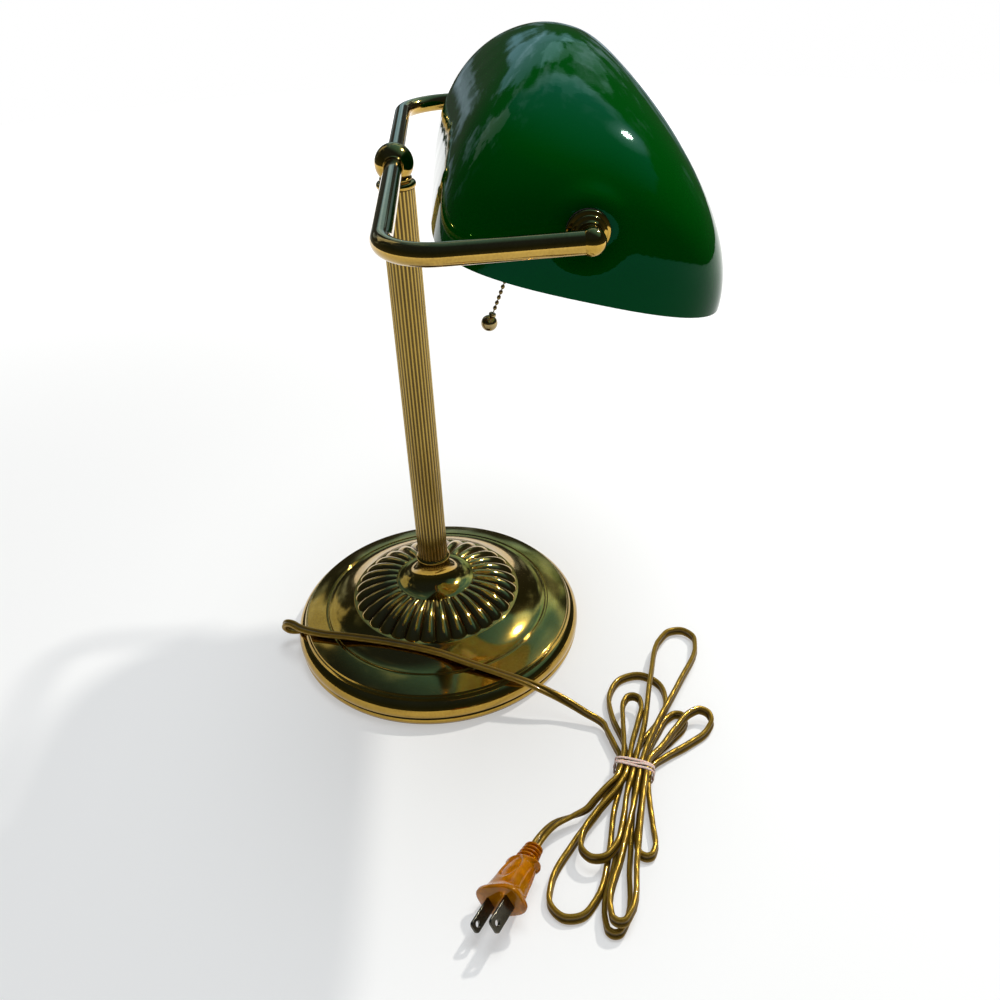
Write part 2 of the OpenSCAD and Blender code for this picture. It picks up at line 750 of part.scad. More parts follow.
// Straight leads where the hank meets the free stretch and the tail
lead_step = 6;
function lead(i, side, turn, k) = at_hank(
    side * (waist_half + 4 + k * lead_step * cos(turn)),
    passes[i][0] + 1 + k * lead_step * sin(turn),
    stand + tie_lift + passes[i][1] * layer_step * (1 - k * k / 36));
function lead_in(k) = lead(0, 1, 32, k);
function lead_out(k) = lead(10, -1, 28, k);
hank_controls = concat(
    [for (k = [2:-1:0]) lead_in(k)],
    [for (i = [0:10]) let (out = i % 2 == 0 ? -1 : 1) each concat(
        [pass_point(i, -out * waist_half), pass_point(i, out * waist_half)],
        i == 10 ? [] : hank_loop(i, i + 1, out, out < 0 ? near_loops[i / 2] : far_loops[(i - 1) / 2]))],
    [for (k = [0:2]) lead_out(k)]);

// Standing section: two points up and down the edge, two on each face
function edge_rings(p) = [for (i = [0:len(p) - 1]) let (
        t = heading(p, i), n = unit([t[1], -t[0], 0]))
    [for (c = [[0, 1], [-1, 0.5], [-1, -0.5], [0, -1], [1, -0.5], [1, 0.5]])
        p[i] + n * c[0] * cord_t / 2 + [0, 0, c[1] * cord_w / 2]]];

// Least gap between strands, across or up, over points more than a fold apart
function strand_gap(p, skip) = min([for (i = [0:len(p) - 1], j = [i + skip:1:len(p) - 1])
    let (d = p[i] - p[j], flat = norm([d[0], d[1]]) - cord_t, up = abs(d[2]) - cord_w)
    max(flat, up)]);

module cord_hank() {
    path = curve(hank_controls, 2);
    fine = curve(hank_controls, 5);
    echo(hank_length = length(path), least_gap = strand_gap(fine, 12));  // cord_hank
    color("peru") skin(edge_rings(path));
}

// Free stretch from the bushing, back over the rim and the plate, down to the hank
route = concat(
    [exit_point + 0.15 * exit_dir, exit_point + 2.5 * exit_dir],
    [[-9, 100, 10.5], [-10.5, 102.5, 15], [-13, 101, 20], [-17, 96, 23], [-23, 89, 23.6],
     [-30, 76, 24.6], [-39, 55, 28], [-54, 22, 32.6], [-62, -2, 30.8], [-69, -21, 26.8],
     [-76, -40, 23.2], [-81, -53, 20.5], [-85, -63, 17.5], [-90, -76, 12], [-97, -88, 7.4]],
    [for (k = [4, 3, 2.03]) lead_in(k)]);
cord_path = curve(route, 3);

module power_cord() {
    color("peru") skin(flat_rings(cord_path, 36, 50));
}

// Plug: middle of its collar's end, heading, rise towards its face, and roll on to one edge
plug_start = [-188.9, -50.3, 9];
plug_turn = 149.3;
plug_rise = 6.4;
plug_roll = 35;
plug_dir = [cos(plug_turn) * cos(plug_rise), sin(plug_turn) * cos(plug_rise), sin(plug_rise)];
edge_trim = 26.9;
face_x = 38;

// Blades: distance off the plug's axis, thickness, widths, ends and hole
blade_off = 6.35;
blade_t = 1.5;
narrow_blade = 6.35;
wide_blade = 7.9;
blade_root_x = 31;
blade_tip_x = 55;
blade_hole_x = 51.5;
blade_hole_r = 1.5;
tail_route = concat(
    [for (k = [2.03, 3, 4]) lead_out(k)],
    [[-170, -72, 7.2], [-175, -62, 8.2]],
    [plug_start - 6 * plug_dir, plug_start]);
tail_path = curve(tail_route, 3);

module cord_tail() {
    color("peru") skin(flat_rings(tail_path, 15, 5));
}

// Three turns of a rubber band round the waist
module hank_tie() {
    half_w = 2.5 * pass_pitch + cord_t / 2 + 0.1;
    low = stand + tie_lift - cord_w / 2 - 0.1;
    high = stand + tie_lift + layer_step + cord_w / 2 + 0.1;
    color("mistyrose") translate([waist[0], waist[1], 0]) rotate([90, 0, hank_turn + 90])
        for (i = [-1:1]) translate([0, 0, i * 1.9 - 0.8]) linear_extrude(1.6) difference() {
            round_box(-half_w - 1.2, half_w + 1.2, low - 1.1, high + 1.1, 2.2);
            round_box(-half_w, half_w, low, high, 1);
        }
}

module round_box(x0, x1, y0, y1, r) {
    for (x = [x0 + r, x1 - r], y = [y0 + r, y1 - r]) translate([x, y]) circle(r = r, $fn = 32);
    translate([x0 + r, y0]) square([x1 - x0 - 2 * r, y1 - y0]);
    translate([x0, y0 + r]) square([x1 - x0, y1 - y0 - 2 * r]);
}

module in_plug() {
    translate(plug_start) rotate([0, -plug_rise, plug_turn]) rotate([plug_roll, 0, 0]) children();
}

// Moulded plug: ribbed collar, shoulders, waist and flared face
module plug_body() {
    plan = [[8, 5.2], [10, 8.4], [13, 10.4], [17, 10.6], [23, 9.6], [28, 10], [32, 12],
        [34, 13.6], [face_x, 13.8]];
    side = [[8, 4.6], [12, 6.6], [18, 7], [24, 6.6], [29, 7], [33, 8.8], [face_x, 9.2]];
    color("darkorange") in_plug() difference() {
        union() {
            intersection() {
                translate([0, 0, -10]) linear_extrude(20) mirrored(plan);
                rotate([90, 0, 0]) translate([0, 0, -15]) linear_extrude(30) mirrored(side);
                translate([face_x / 2, 0, 0]) rotate([45, 0, 0])
                    cube([2 * face_x, edge_trim, edge_trim], center = true);
            }
            along_x() cylinder(r = 4.4, h = 9);
            for (x = [0.8, 3.4, 6]) translate([x, 0, 0]) along_x() cylinder(r = 5.6, h = 1.4);
        }
        blades(false);
    }
}

module mirrored(half) {
    polygon(concat(half, [for (i = [len(half) - 1:-1:0]) [half[i][0], -half[i][1]]]));
}

// Two flat blades with cut corners, the second one wider
module blades(drilled) {
    for (side = [-1, 1]) let (wide = side < 0 ? narrow_blade : wide_blade)
        translate([0, side * blade_off, 0]) difference() {
            translate([blade_root_x, -blade_t / 2, -wide / 2])
                cube([blade_tip_x - blade_root_x, blade_t, wide]);
            if (drilled) translate([blade_hole_x, 5, 0]) rotate([90, 0, 0])
                cylinder(r = blade_hole_r, h = 10, $fn = 32);
            for (up = [-1, 1]) translate([blade_tip_x, 0, up * wide / 2]) rotate([0, 45, 0])
                cube([2, 4, 2], center = true);
        }
}

module plug_blades() {
    color("silver") in_plug() blades(true);
}

base_cover();
petal_ring();
base_weight();
felt_pad();
column_foot();
column_tube();
threaded_rod();
base_nut();
base_washer();
column_cap();
yoke_ball();
yoke_set_screw();
column_leads();
cord_bushing();
power_cord();
cord_hank();
cord_tail();
hank_tie();
plug_body();
plug_blades();
yoke_tube();
yoke_end_balls();
pivot_nipples();
pivot_rosettes();
inner_washers();
lock_nuts();
socket_stem();
socket_cap();
socket_shell();
socket_liner();
socket_body();
screw_shell();
centre_contact();
chain_bell();
bulb_glass();
bulb_base();
glass_shade();
pivot_grommets();
switch_chain();
pull_chain();
chain_pendant();
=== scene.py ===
import math
import bpy
import bmesh
import numpy as np
from mathutils import Matrix, Vector


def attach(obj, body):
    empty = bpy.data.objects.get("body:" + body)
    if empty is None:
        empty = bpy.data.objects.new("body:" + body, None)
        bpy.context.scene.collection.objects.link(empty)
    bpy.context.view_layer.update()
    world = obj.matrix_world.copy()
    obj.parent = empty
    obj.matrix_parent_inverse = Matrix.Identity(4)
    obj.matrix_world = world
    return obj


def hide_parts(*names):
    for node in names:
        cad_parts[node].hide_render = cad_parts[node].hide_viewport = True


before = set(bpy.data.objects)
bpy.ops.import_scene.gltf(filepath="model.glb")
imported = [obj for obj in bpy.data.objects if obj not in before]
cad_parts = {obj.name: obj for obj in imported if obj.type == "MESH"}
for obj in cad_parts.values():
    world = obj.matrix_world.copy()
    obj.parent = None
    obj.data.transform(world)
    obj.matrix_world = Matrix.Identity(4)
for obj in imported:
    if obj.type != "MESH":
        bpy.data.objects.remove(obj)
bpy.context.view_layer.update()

# Camera
# It stands at the near end of the shade, a little to the left of the column, and looks down
# on the lamp. Heading, pitch and roll are in degrees.
heading, pitch, roll = (math.radians(a) for a in (-1.287, 33.885, -2.748))
ahead = Vector((math.cos(pitch) * math.cos(heading), math.cos(pitch) * math.sin(heading), -math.sin(pitch)))
level = ahead.cross(Vector((0, 0, 1))).normalized()
above = level.cross(ahead)
right = level * math.cos(roll) + above * math.sin(roll)
up = above * math.cos(roll) - level * math.sin(roll)
lens = bpy.data.cameras.new("camera")
lens.lens, lens.sensor_width, lens.clip_start = 33.84, 36, 0.01
camera = bpy.data.objects.new("camera", lens)
camera.matrix_world = Matrix.Translation((-0.4914, -0.0343, 0.4293)) @ Matrix((right, up, -ahead)).transposed().to_4x4()
scene = bpy.context.scene
scene.collection.objects.link(camera)
scene.camera = camera

# Power cord
# Flat two-conductor lead in clear brown vinyl, with the twisted copper showing through. It leaves
# the base's rear edge, comes back over the rim and the plate, and lies tied in a hank on the table.
MM = 0.001
cord_w, cord_t = 5.4, 2.8
exit_r, exit_z, exit_turn = 93.4, 9.0, math.radians(95)
exit_dir = np.array([math.cos(exit_turn), math.sin(exit_turn), 0])
exit_point = exit_r * exit_dir + [0, 0, exit_z]
waist = np.array([-142.0, -110.0])
hank_turn = math.radians(-19)
stand, tie_lift, layer_step, pass_pitch = cord_w / 2 + 0.1, 1.4, cord_w + 0.9, 3.7
waist_half = 7
passes = [((2.5 - i) * pass_pitch, 0) for i in range(6)] + [((i - 2) * pass_pitch, 1) for i in range(5)]
near_loops = [(7.4, 88.5, 10.6, 0), (-4.2, 89.9, 2.9, 0), (-9.8, 44.5, 2.9, 0), (-1.8, 87.1, 3, 0), (10.1, 56.7, 7.7, 0)]
far_loops = [(4.2, 71.5, 15.9, 0), (-20.2, 47.1, 3.9, 0), (-30.5, 53, 5.5, 0), (-4.5, 119.1, 9.8, 0.9), (4.8, 46.8, 3.6, 0)]


def mix(a, b, k):
    return a + (b - a) * k


def ease(k):
    k = min(1, max(0, k))
    return k * k * (3 - 2 * k)


def at_hank(s, t, z):
    c, n = math.cos(hank_turn), math.sin(hank_turn)
    return [waist[0] + s * c - t * n, waist[1] + s * n + t * c, z]


def pass_point(i, s):
    return at_hank(s, passes[i][0], stand + tie_lift + passes[i][1] * layer_step)


def lead(i, side, turn, k):
    turn = math.radians(turn)
    return at_hank(side * (waist_half + 4 + k * 6 * math.cos(turn)), passes[i][0] + 1 + k * 6 * math.sin(turn),
                   stand + tie_lift + passes[i][1] * layer_step * (1 - k * k / 36))


def hank_loop(a, b, side, loop):
    (t0, l0), (t1, l1) = passes[a], passes[b]
    fan, reach, wide, drop = math.radians(loop[0]), *loop[1:]
    belly = reach - wide
    half = [(0.24 * belly, 0.16), (0.6 * belly, 0.74), (belly - 0.35 * wide, 1), (belly + 0.62 * wide, 0.72)]
    shape = half + [(reach, 0)] + [(p, -q) for p, q in half[::-1]]
    points = []
    for i, (p, q) in enumerate(shape):
        k = i / (len(shape) - 1)
        q *= wide * math.copysign(1, t0 - t1)
        s = p * math.cos(fan) - q * math.sin(fan)
        t = p * math.sin(fan) + q * math.cos(fan) + mix(t0, t1, ease(k))
        layer = mix(l0, l1, ease((k - 0.1) / 0.65)) * (1 - drop * ease((p / reach - 0.7) / 0.3))
        points.append(at_hank(side * (waist_half + s), t, stand + tie_lift * (1 - ease(p / 25)) + layer * layer_step))
    return points


def smooth_line(points, steps):
    p = np.array(points, float)
    step = np.diff(p, axis=0)
    far = np.linalg.norm(step, axis=1)[:, None]
    head = step / far
    heads = np.concatenate([head[:1], (head[:-1] * far[1:] + head[1:] * far[:-1]) / (far[:-1] + far[1:]), head[-1:]])
    line = []
    for b, c, tb, tc in zip(p, p[1:], heads[:-1] * far, heads[1:] * far):
        for k in np.arange(steps) / steps:
            line.append((2 * k**3 - 3 * k**2 + 1) * b + (k**3 - 2 * k**2 + k) * tb
                        + (3 * k**2 - 2 * k**3) * c + (k**3 - k**2) * tc)
    return np.array(line + [p[-1]])


plug_turn, plug_rise, plug_roll = (math.radians(a) for a in (149.3, 6.4, 35))
plug_dir = np.array([math.cos(plug_turn) * math.cos(plug_rise), math.sin(plug_turn) * math.cos(plug_rise), math.sin(plug_rise)])
plug_start = np.array([-188.9, -50.3, 9])
route = [exit_point - 1.5 * exit_dir, exit_point + 2.5 * exit_dir, (-9, 100, 10.5), (-10.5, 102.5, 15),
         (-13, 101, 20), (-17, 96, 23), (-23, 89, 23.6), (-30, 76, 24.6), (-39, 55, 28), (-54, 22, 32.6),
         (-62, -2, 30.8), (-69, -21, 26.8), (-76, -40, 23.2), (-81, -53, 20.5), (-85, -63, 17.5),
         (-90, -76, 12), (-97, -88, 7.4), lead(0, 1, 32, 4), lead(0, 1, 32, 3), lead(0, 1, 32, 2)]
hank = [lead(0, 1, 32, k) for k in (1, 0)]
for i in range(11):
    out = -1 if i % 2 == 0 else 1
    hank += [pass_point(i, -out * waist_half), pass_point(i, out * waist_half)]
    if i < 10:
        hank += hank_loop(i, i + 1, out, near_loops[i // 2] if out < 0 else far_loops[(i - 1) // 2])
hank += [lead(10, -1, 28, k) for k in (0, 1)]
tail = [lead(10, -1, 28, k) for k in (2, 3, 4)] + [(-170, -72, 7.2), (-175, -62, 8.2),
        plug_start - 6 * plug_dir, plug_start + 2 * plug_dir]
steps = 6
cord_line = smooth_line(route + hank + tail, steps)
run = np.gradient(cord_line, axis=0)
run /= np.linalg.norm(run, axis=1)[:, None]

# The lead lies flat on the lamp and stands on its edge in the hank
on_edge_from, on_edge_to = 12.0, 16.7
tail_from = len(route) + len(hank)
wides = []
for i, t in enumerate(run):
    k = i / steps
    if k < len(route) - 1 or k > tail_from:
        across = np.array([1.0, 0, 0]) - t[0] * t
        across /= np.linalg.norm(across)
        over = np.cross(t, across)
        turn = ease((k - on_edge_from) / (on_edge_to - on_edge_from)) if k < len(route) else ease((tail_from + 5 - k) / 3.3)
        turn *= math.pi / 2
        wide = across * math.cos(turn) + over * math.sin(turn)
    else:
        lean = 0.5 * ease((math.dist(cord_line[i][:2], waist) - 12) / 25)
        wide = np.array([lean, 0, 1.0])
        wide -= wide @ t * t
    wide /= np.linalg.norm(wide)
    if wides and wide @ wides[-1] < 0:
        wide = -wide
    wides.append(wide)
wides = np.array(wides)
thins = np.cross(run, wides)
lobe_r = cord_t / 2
lobe_at = cord_w / 2 - lobe_r
arc = np.radians(np.linspace(-135, 135, 12))
lobe = np.stack([lobe_at + lobe_r * np.cos(arc), lobe_r * np.sin(arc)], 1)
section = np.concatenate([lobe, -lobe])


def loft(name, rings, caps=True, loop=False, lengthways=None):
    """A mesh object through rings of points, in millimetres; UVs run along it and round it, in metres and turns."""
    rings = np.asarray(rings, float)
    m, n = rings.shape[:2]
    grid = np.arange(m * n).reshape(m, n)
    if loop:
        grid = np.concatenate([grid, grid[:1]])
    a, b = grid[:-1], grid[1:]
    faces = np.stack([a, np.roll(a, -1, 1), np.roll(b, -1, 1), b], -1).reshape(-1, 4).tolist()
    if caps and not loop:
        faces += [grid[0][::-1].tolist(), grid[-1].tolist()]
    mesh = bpy.data.meshes.new(name)
    mesh.from_pydata((rings.reshape(-1, 3) * MM).tolist(), [], faces)
    if lengthways is not None:
        uv = mesh.uv_layers.new(name="UVMap").data
        for face in mesh.polygons[:(m - 1) * n]:
            row, col = divmod(face.index, n)
            for corner, (i, j) in zip(face.loop_indices, ((row, col), (row, col + 1), (row + 1, col + 1), (row + 1, col))):
                uv[corner].uv = (lengthways[i] * MM, j / n)
    return shown(name, mesh)


def shown(name, mesh):
    """Turns the faces outwards, shades them smooth with crisp edges, and links the object."""
    work = bmesh.new()
    work.from_mesh(mesh)
    bmesh.ops.remove_doubles(work, verts=work.verts, dist=2e-6)
    bmesh.ops.recalc_face_normals(work, faces=work.faces)
    work.to_mesh(mesh)
    work.free()
    mesh.shade_smooth()
    mesh.set_sharp_from_angle(angle=math.radians(42))
    made = bpy.data.objects.new(name, mesh)
    scene.collection.objects.link(made)
    return made


stretch = np.concatenate([[0], np.cumsum(np.linalg.norm(np.diff(cord_line, axis=0), axis=1))])
rings = (cord_line[:, None] + wides[:, None] * section[None, :, :1] + thins[:, None] * section[None, :, 1:])
flat_cord = loft("flat_cord", rings, lengthways=stretch)


class Signal:
    """A socket in a finish's nodes. Sums and products of signals add the Math nodes that they need."""

    def __init__(self, tree, socket=None):
        self.tree, self.socket = tree, socket

    def node(self, kind, settings=None, inputs=None, out=0):
        made = self.tree.nodes.new("ShaderNode" + kind)
        for key, value in (settings or {}).items():
            if key == "stops":
                stops = made.color_ramp.elements
                stops.remove(stops[1])
                stops[0].position, stops[0].color = value[0][0], (*value[0][1], 1)
                for place, colour in value[1:]:
                    stops.new(place).color = (*colour, 1)
            else:
                setattr(made, key, value)
        for key, value in (inputs or {}).items():
            socket = made.inputs[key]
            if isinstance(value, Signal):
                self.tree.links.new(value.socket, socket)
            else:
                socket.default_value = (*value, 1) if socket.type == "RGBA" else value
        return Signal(self.tree, made.outputs[out] if len(made.outputs) else None)

    def sum(self, operation, a, b=0.0):
        return self.node("Math", {"operation": operation}, {0: a, 1: b})

    def __add__(self, other):
        return self.sum("ADD", self, other)

    def __sub__(self, other):
        return self.sum("SUBTRACT", self, other)

    def __rsub__(self, other):
        return self.sum("SUBTRACT", other, self)

    def __mul__(self, other):
        return self.sum("MULTIPLY", self, other)

    def __truediv__(self, other):
        return self.sum("DIVIDE", self, other)

    def __pow__(self, other):
        return self.sum("POWER", self, other)

    __radd__, __rmul__ = __add__, __mul__

    def blend(self, low, high):
        return self.node("Mix", {"data_type": "RGBA"}, {0: self, 6: low, 7: high}, 2)

    def axes(self):
        return [Signal(self.tree, o) for o in self.node("SeparateXYZ", {}, {0: self}).socket.node.outputs]


def new_finish(name):
    made = bpy.data.materials.new(name)
    made.use_nodes = True
    made.node_tree.nodes.clear()
    return made, Signal(made.node_tree)


def close_finish(made, root, inputs):
    root.node("OutputMaterial", {}, {"Surface": root.node("BsdfPrincipled", {}, inputs)})
    return made


def noise(root, place, scale, detail=3.0, rough=0.55):
    return root.node("TexNoise", {}, {"Vector": place, "Scale": scale, "Detail": detail, "Roughness": rough})


def bump(root, height, distance, strength=0.5):
    return root.node("Bump", {}, {"Strength": strength, "Distance": distance, "Height": height})


clear_vinyl, root = new_finish("clear_brown_vinyl")
u, v, _ = root.node("TexCoord", {}, {}, 2).axes()
place = root.node("TexCoord", {}, {}, 3)
strand = root.sum("SINE", (u * (1 / 0.009) + v * 22.0) * math.tau) * 0.5 + 0.5
# rib is bright round each conductor and near black in the grooves where the two meet: partly the copper showing
# through, partly painted glint on the conductors and painted shade in the grooves
rib = root.sum("ABSOLUTE", root.sum("SINE", (v * 2.0 + 0.04) * math.pi))
cloud = noise(root, place, 130.0, 4.0)
tone = rib * (strand * 0.35 + 0.3 + cloud * 0.6)
close_finish(clear_vinyl, root, {
    "Base Color": tone.blend((0.045, 0.025, 0.002), (0.38, 0.235, 0.03)), "Metallic": rib * 0.5 + 0.1,
    "Roughness": 0.42 - cloud * 0.2, "Normal": bump(root, strand + cloud, 0.00012, 0.3), "Coat Weight": 0.25, "Coat Roughness": 0.06,
    "Specular IOR Level": 0.3, "Specular Tint": (1.0, 0.8, 0.4),
    "Coat Tint": (1.0, 0.85, 0.5)})
flat_cord.data.materials.append(clear_vinyl)
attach(flat_cord, "stand")
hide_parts("power_cord", "cord_hank", "cord_tail")

# Tie
# Three turns of a pale rubber band drawn tight round the hank's waist.
half_w = 2.5 * pass_pitch + cord_t / 2 + 0.55
low, high = stand + tie_lift - cord_w / 2 - 0.5, stand + tie_lift + layer_step + cord_w / 2 + 0.5
band_parts = []
for turn, (at, lean, thick) in enumerate([(-1.9, 0.05, 0.62), (-0.1, -0.03, 0.58), (1.8, 0.07, 0.66)]):
    rings = []
    for k in range(96):
        a = math.tau * k / 96
        c, n = math.cos(a), math.sin(a)
        bulge = 0.12 * math.sin(10 * a + turn)
        corner = (abs(c) ** 4 + abs(n) ** 4) ** -0.25
        t = (half_w + bulge) * corner * c
        z = mix(low, high, 0.5) + (high - low + bulge) / 2 * corner * n
        s = at + lean * t + 0.25 * math.sin(3 * a + turn)
        middle = np.array(at_hank(s, t, z))
        outward = np.array(at_hank(0, c, 0)) - at_hank(0, 0, 0) + [0, 0, n]
        outward /= np.linalg.norm(outward)
        along = np.array(at_hank(1, 0, 0)) - at_hank(0, 0, 0)
        rings.append([middle + outward * thick * 0.75 * math.cos(b) + along * thick * 1.25 * math.sin(b)
                      for b in np.linspace(0, math.tau, 13)[:-1]])
    band_parts.append(loft(f"band_{turn}", rings, loop=True))


def joined(name, parts):
    """One object from several, under its own name."""
    with bpy.context.temp_override(active_object=parts[0], selected_editable_objects=parts):
        bpy.ops.object.join()
    parts[0].name = parts[0].data.name = name
    return parts[0]


rubber_band = joined("rubber_band", band_parts)
pale_rubber, root = new_finish("pale_rubber")
place = root.node("TexCoord", {}, {}, 3)
dust = noise(root, place, 500.0, 4.0)
close_finish(pale_rubber, root, {
    "Base Color": dust.blend((0.62, 0.40, 0.34), (0.86, 0.70, 0.62)), "Roughness": dust * 0.2 + 0.5,
    "Normal": bump(root, dust, 0.0001), "Subsurface Weight": 0.15, "Subsurface Scale": 0.001})
rubber_band.data.materials.append(pale_rubber)
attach(rubber_band, "stand")
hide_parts("hank_tie")

# Plug
# Moulded on the lead's end in clear amber vinyl: a ribbed neck that bends with the lead, finger
# lugs at the shoulders, and a body that flares to a flanged face.
plug_place = (Matrix.Translation(plug_start) @ Matrix.Rotation(plug_turn, 4, "Z") @ Matrix.Rotation(-plug_rise, 4, "Y")
              @ Matrix.Rotation(plug_roll, 4, "X"))


def placed(points, matrix):
    m = np.array(matrix)
    return np.asarray(points, float) @ m[:3, :3].T + m[:3, 3]


neck = [(0, 3.9, 3.0), (0.2, 4.2, 3.3)]
for rib in range(4):
    x = 0.6 + 2.5 * rib
    grow = 0.28 * rib
    neck += [(x, 3.9 + grow, 3.1 + grow), (x + 0.15, 5.3 + grow, 4.4 + grow), (x + 0.3, 5.5 + grow, 4.6 + grow),
             (x + 1.05, 5.5 + grow, 4.6 + grow), (x + 1.2, 5.3 + grow, 4.4 + grow), (x + 1.35, 4.0 + grow, 3.2 + grow),
             (x + 2.2, 3.8 + grow, 3.0 + grow)]
body = [(10.6, 6.4, 5.2), (11.4, 7.2, 5.8), (12.0, 8.4, 6.1), (12.5, 10.7, 6.3), (13.6, 11.0, 6.4), (14.2, 9.2, 6.5),
        (15, 8.2, 6.6), (20, 8.6, 6.9), (24, 9.1, 7.0), (28, 9.8, 7.2), (32, 10.7, 7.5), (33.6, 11.4, 7.9), (34.8, 12.8, 8.6),
        (35.4, 13.7, 9.1), (36, 13.9, 9.25), (37.2, 13.9, 9.25), (37.7, 13.6, 9.0), (38, 13.0, 8.4)]
fine_x = np.linspace(10.6, 38, 70)
body = np.stack([fine_x] + [np.interp(fine_x, [row[0] for row in body], [row[i] for row in body]) for i in (1, 2)], 1).tolist()
rings = []
for x, wide, tall in neck + body:
    square = mix(2.0, 3.2, ease((x - 10) / 14))
    around = np.linspace(0, math.tau, 97)[:-1]
    c, n = np.cos(around), np.sin(around)
    y, z = wide * np.sign(c) * abs(c) ** (2 / square), tall * np.sign(n) * abs(n) ** (2 / square)
    off_grip = ((x - 20) / 8.8) ** 2 + (y / 6.4) ** 2
    z -= np.sign(z) * 1.1 * np.array([1 - ease((o - 0.62) / 0.34) for o in off_grip]) * (abs(z) > 3)
    rings.append(np.stack([np.full(96, x), y, z], 1))
moulded_plug = loft("moulded_plug", placed(rings, plug_place))
amber, root = new_finish("amber_vinyl")
place = root.node("TexCoord", {}, {}, 3)
swirl = noise(root, place, 230.0, 3.0)
depth = noise(root, place, 70.0, 2.0)
close_finish(amber, root, {
    "Base Color": (swirl * 0.6 + depth * 1.6 - 0.6).blend((0.46, 0.10, 0.0005), (0.90, 0.37, 0.003)),
    "Roughness": swirl * 0.08 + 0.03, "Normal": bump(root, swirl + depth * 0.5, 0.0003, 0.25), "IOR": 1.46,
    "Specular Tint": (1.0, 0.75, 0.4), "Transmission Weight": 0.5, "Coat Weight": 0.2, "Coat Roughness": 0.03})
moulded_plug.data.materials.append(amber)
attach(moulded_plug, "stand")
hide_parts("plug_body")

# Plug blades
# Folded brass strip, nickel plated, one wider than the other, each with rounded corners and a
# hole punched near its tip.
blade_parts = []
for side, wide in ((-1, 6.35), (1, 7.9)):
    half, x0, x1, corner = wide / 2, 24.0, 55.0, 1.8
    outline = [(x0, -half)]
    for cx, cy, a0 in ((x1 - corner, -half + corner, -90), (x1 - corner, half - corner, 0)):
        outline += [(cx + corner * math.cos(math.radians(a)), cy + corner * math.sin(math.radians(a)))
                    for a in range(a0, a0 + 91, 15)]
    outline.append((x0, half))
    hole = [(51.5 + 1.5 * math.cos(math.radians(a)), 1.5 * math.sin(math.radians(a))) for a in range(0, 360, 15)]
    work = bmesh.new()
    edges = []
    for line in (outline, hole):
        verts = [work.verts.new((x, 0, z)) for x, z in line]
        edges += [work.edges.new((verts[i - 1], verts[i])) for i in range(len(verts))]
    face_set = bmesh.ops.triangle_fill(work, edges=edges, use_beauty=True)["geom"]
    faces = [g for g in face_set if isinstance(g, bmesh.types.BMFace)]
    raised = bmesh.ops.extrude_face_region(work, geom=faces)["geom"]
    bmesh.ops.translate(work, vec=(0, 1.5, 0), verts=[g for g in raised if isinstance(g, bmesh.types.BMVert)])
    mesh = bpy.data.meshes.new("blade")
    work.to_mesh(mesh)
    work.free()
    mesh.transform(plug_place @ Matrix.Translation((0, side * 6.35 - 0.75, 0)))
    mesh.transform(Matrix.Scale(MM, 4))
    blade = shown(f"blade_{side}", mesh)
    edge = blade.modifiers.new("edge", "BEVEL")
    edge.width, edge.segments, edge.limit_method, edge.angle_limit = 0.00022, 2, "ANGLE", math.radians(50)
    blade_parts.append(blade)
for blade in blade_parts:
    solid = bpy.data.meshes.new_from_object(blade.evaluated_get(bpy.context.evaluated_depsgraph_get()))
    blade.modifiers.clear()
    blade.data = solid
nickel_blades = joined("nickel_blades", blade_parts)


def metal(name, colour, dull, rough=0.2, spread=0.12, scale=120.0, grain=None, coat=0.0):
    """A bare metal with clouded tarnish, fine scratches and, where it is worked, its tool marks."""
    made, root = new_finish(name)
    place = root.node("TexCoord", {}, {}, 3)
    cloud = noise(root, place, scale, 4.0, 0.6)
    fine = noise(root, place, scale * 14, 2.0)
    worn = root.sum("MULTIPLY", cloud, fine) * 1.6
    height = fine * 0.15 + (grain(root, place) if grain else 0.0)
    return close_finish(made, root, {
        "Base Color": root.sum("MINIMUM", worn, 1.0).blend(colour, dull), "Metallic": 1.0,
        "Roughness": cloud * spread + fine * 0.05 + (rough - spread / 2), "Normal": bump(root, height, 0.00004, 0.25),
        "Coat Weight": coat, "Coat Roughness": 0.04})


dark_nickel = metal("dark_nickel", (0.13, 0.12, 0.09), (0.03, 0.027, 0.02), 0.22, 0.12, 260.0)
nickel_blades.data.materials.append(dark_nickel)
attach(nickel_blades, "stand")
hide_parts("plug_blades")

# Floor, background and lamps
# A round white table top that keeps the lamp's shadow and grows whiter away from it. Metal and
# glass mirror it as the camera sees it, and past its edge a dim studio with soft blue windows.
floor_mesh = bpy.data.meshes.new("table_top")
reach, edges_round = 2.0, 128
floor_mesh.from_pydata([(reach * math.cos(a), reach * math.sin(a), 0) for a in np.linspace(0, math.tau, edges_round + 1)[:-1]],
                       [], [tuple(range(edges_round))])
table_top = bpy.data.objects.new("table_top", floor_mesh)
table_top.location.z = -0.0002
scene.collection.objects.link(table_top)


def light_path(root, *names):
    outputs = root.node("LightPath").socket.node.outputs
    kinds = [Signal(root.tree, outputs[name]) for name in names]
    return root.sum("MINIMUM", sum(kinds[1:], kinds[0]), 1.0)


def patch(root, way, turn, rise, core, rim):
    """A soft round window in the room, at this turn and rise from the lamp, with radii in degrees."""
    turn, rise, core, rim = (math.radians(a) for a in (turn, rise, core, rim))
    towards = (math.cos(turn) * math.cos(rise), math.sin(turn) * math.cos(rise), math.sin(rise))
    near = root.node("VectorMath", {"operation": "DOT_PRODUCT"}, {0: way, 1: towards}, 1)
    return root.node("MapRange", {"interpolation_type": "SMOOTHSTEP"}, {0: near, 1: math.cos(rim), 2: math.cos(core)})


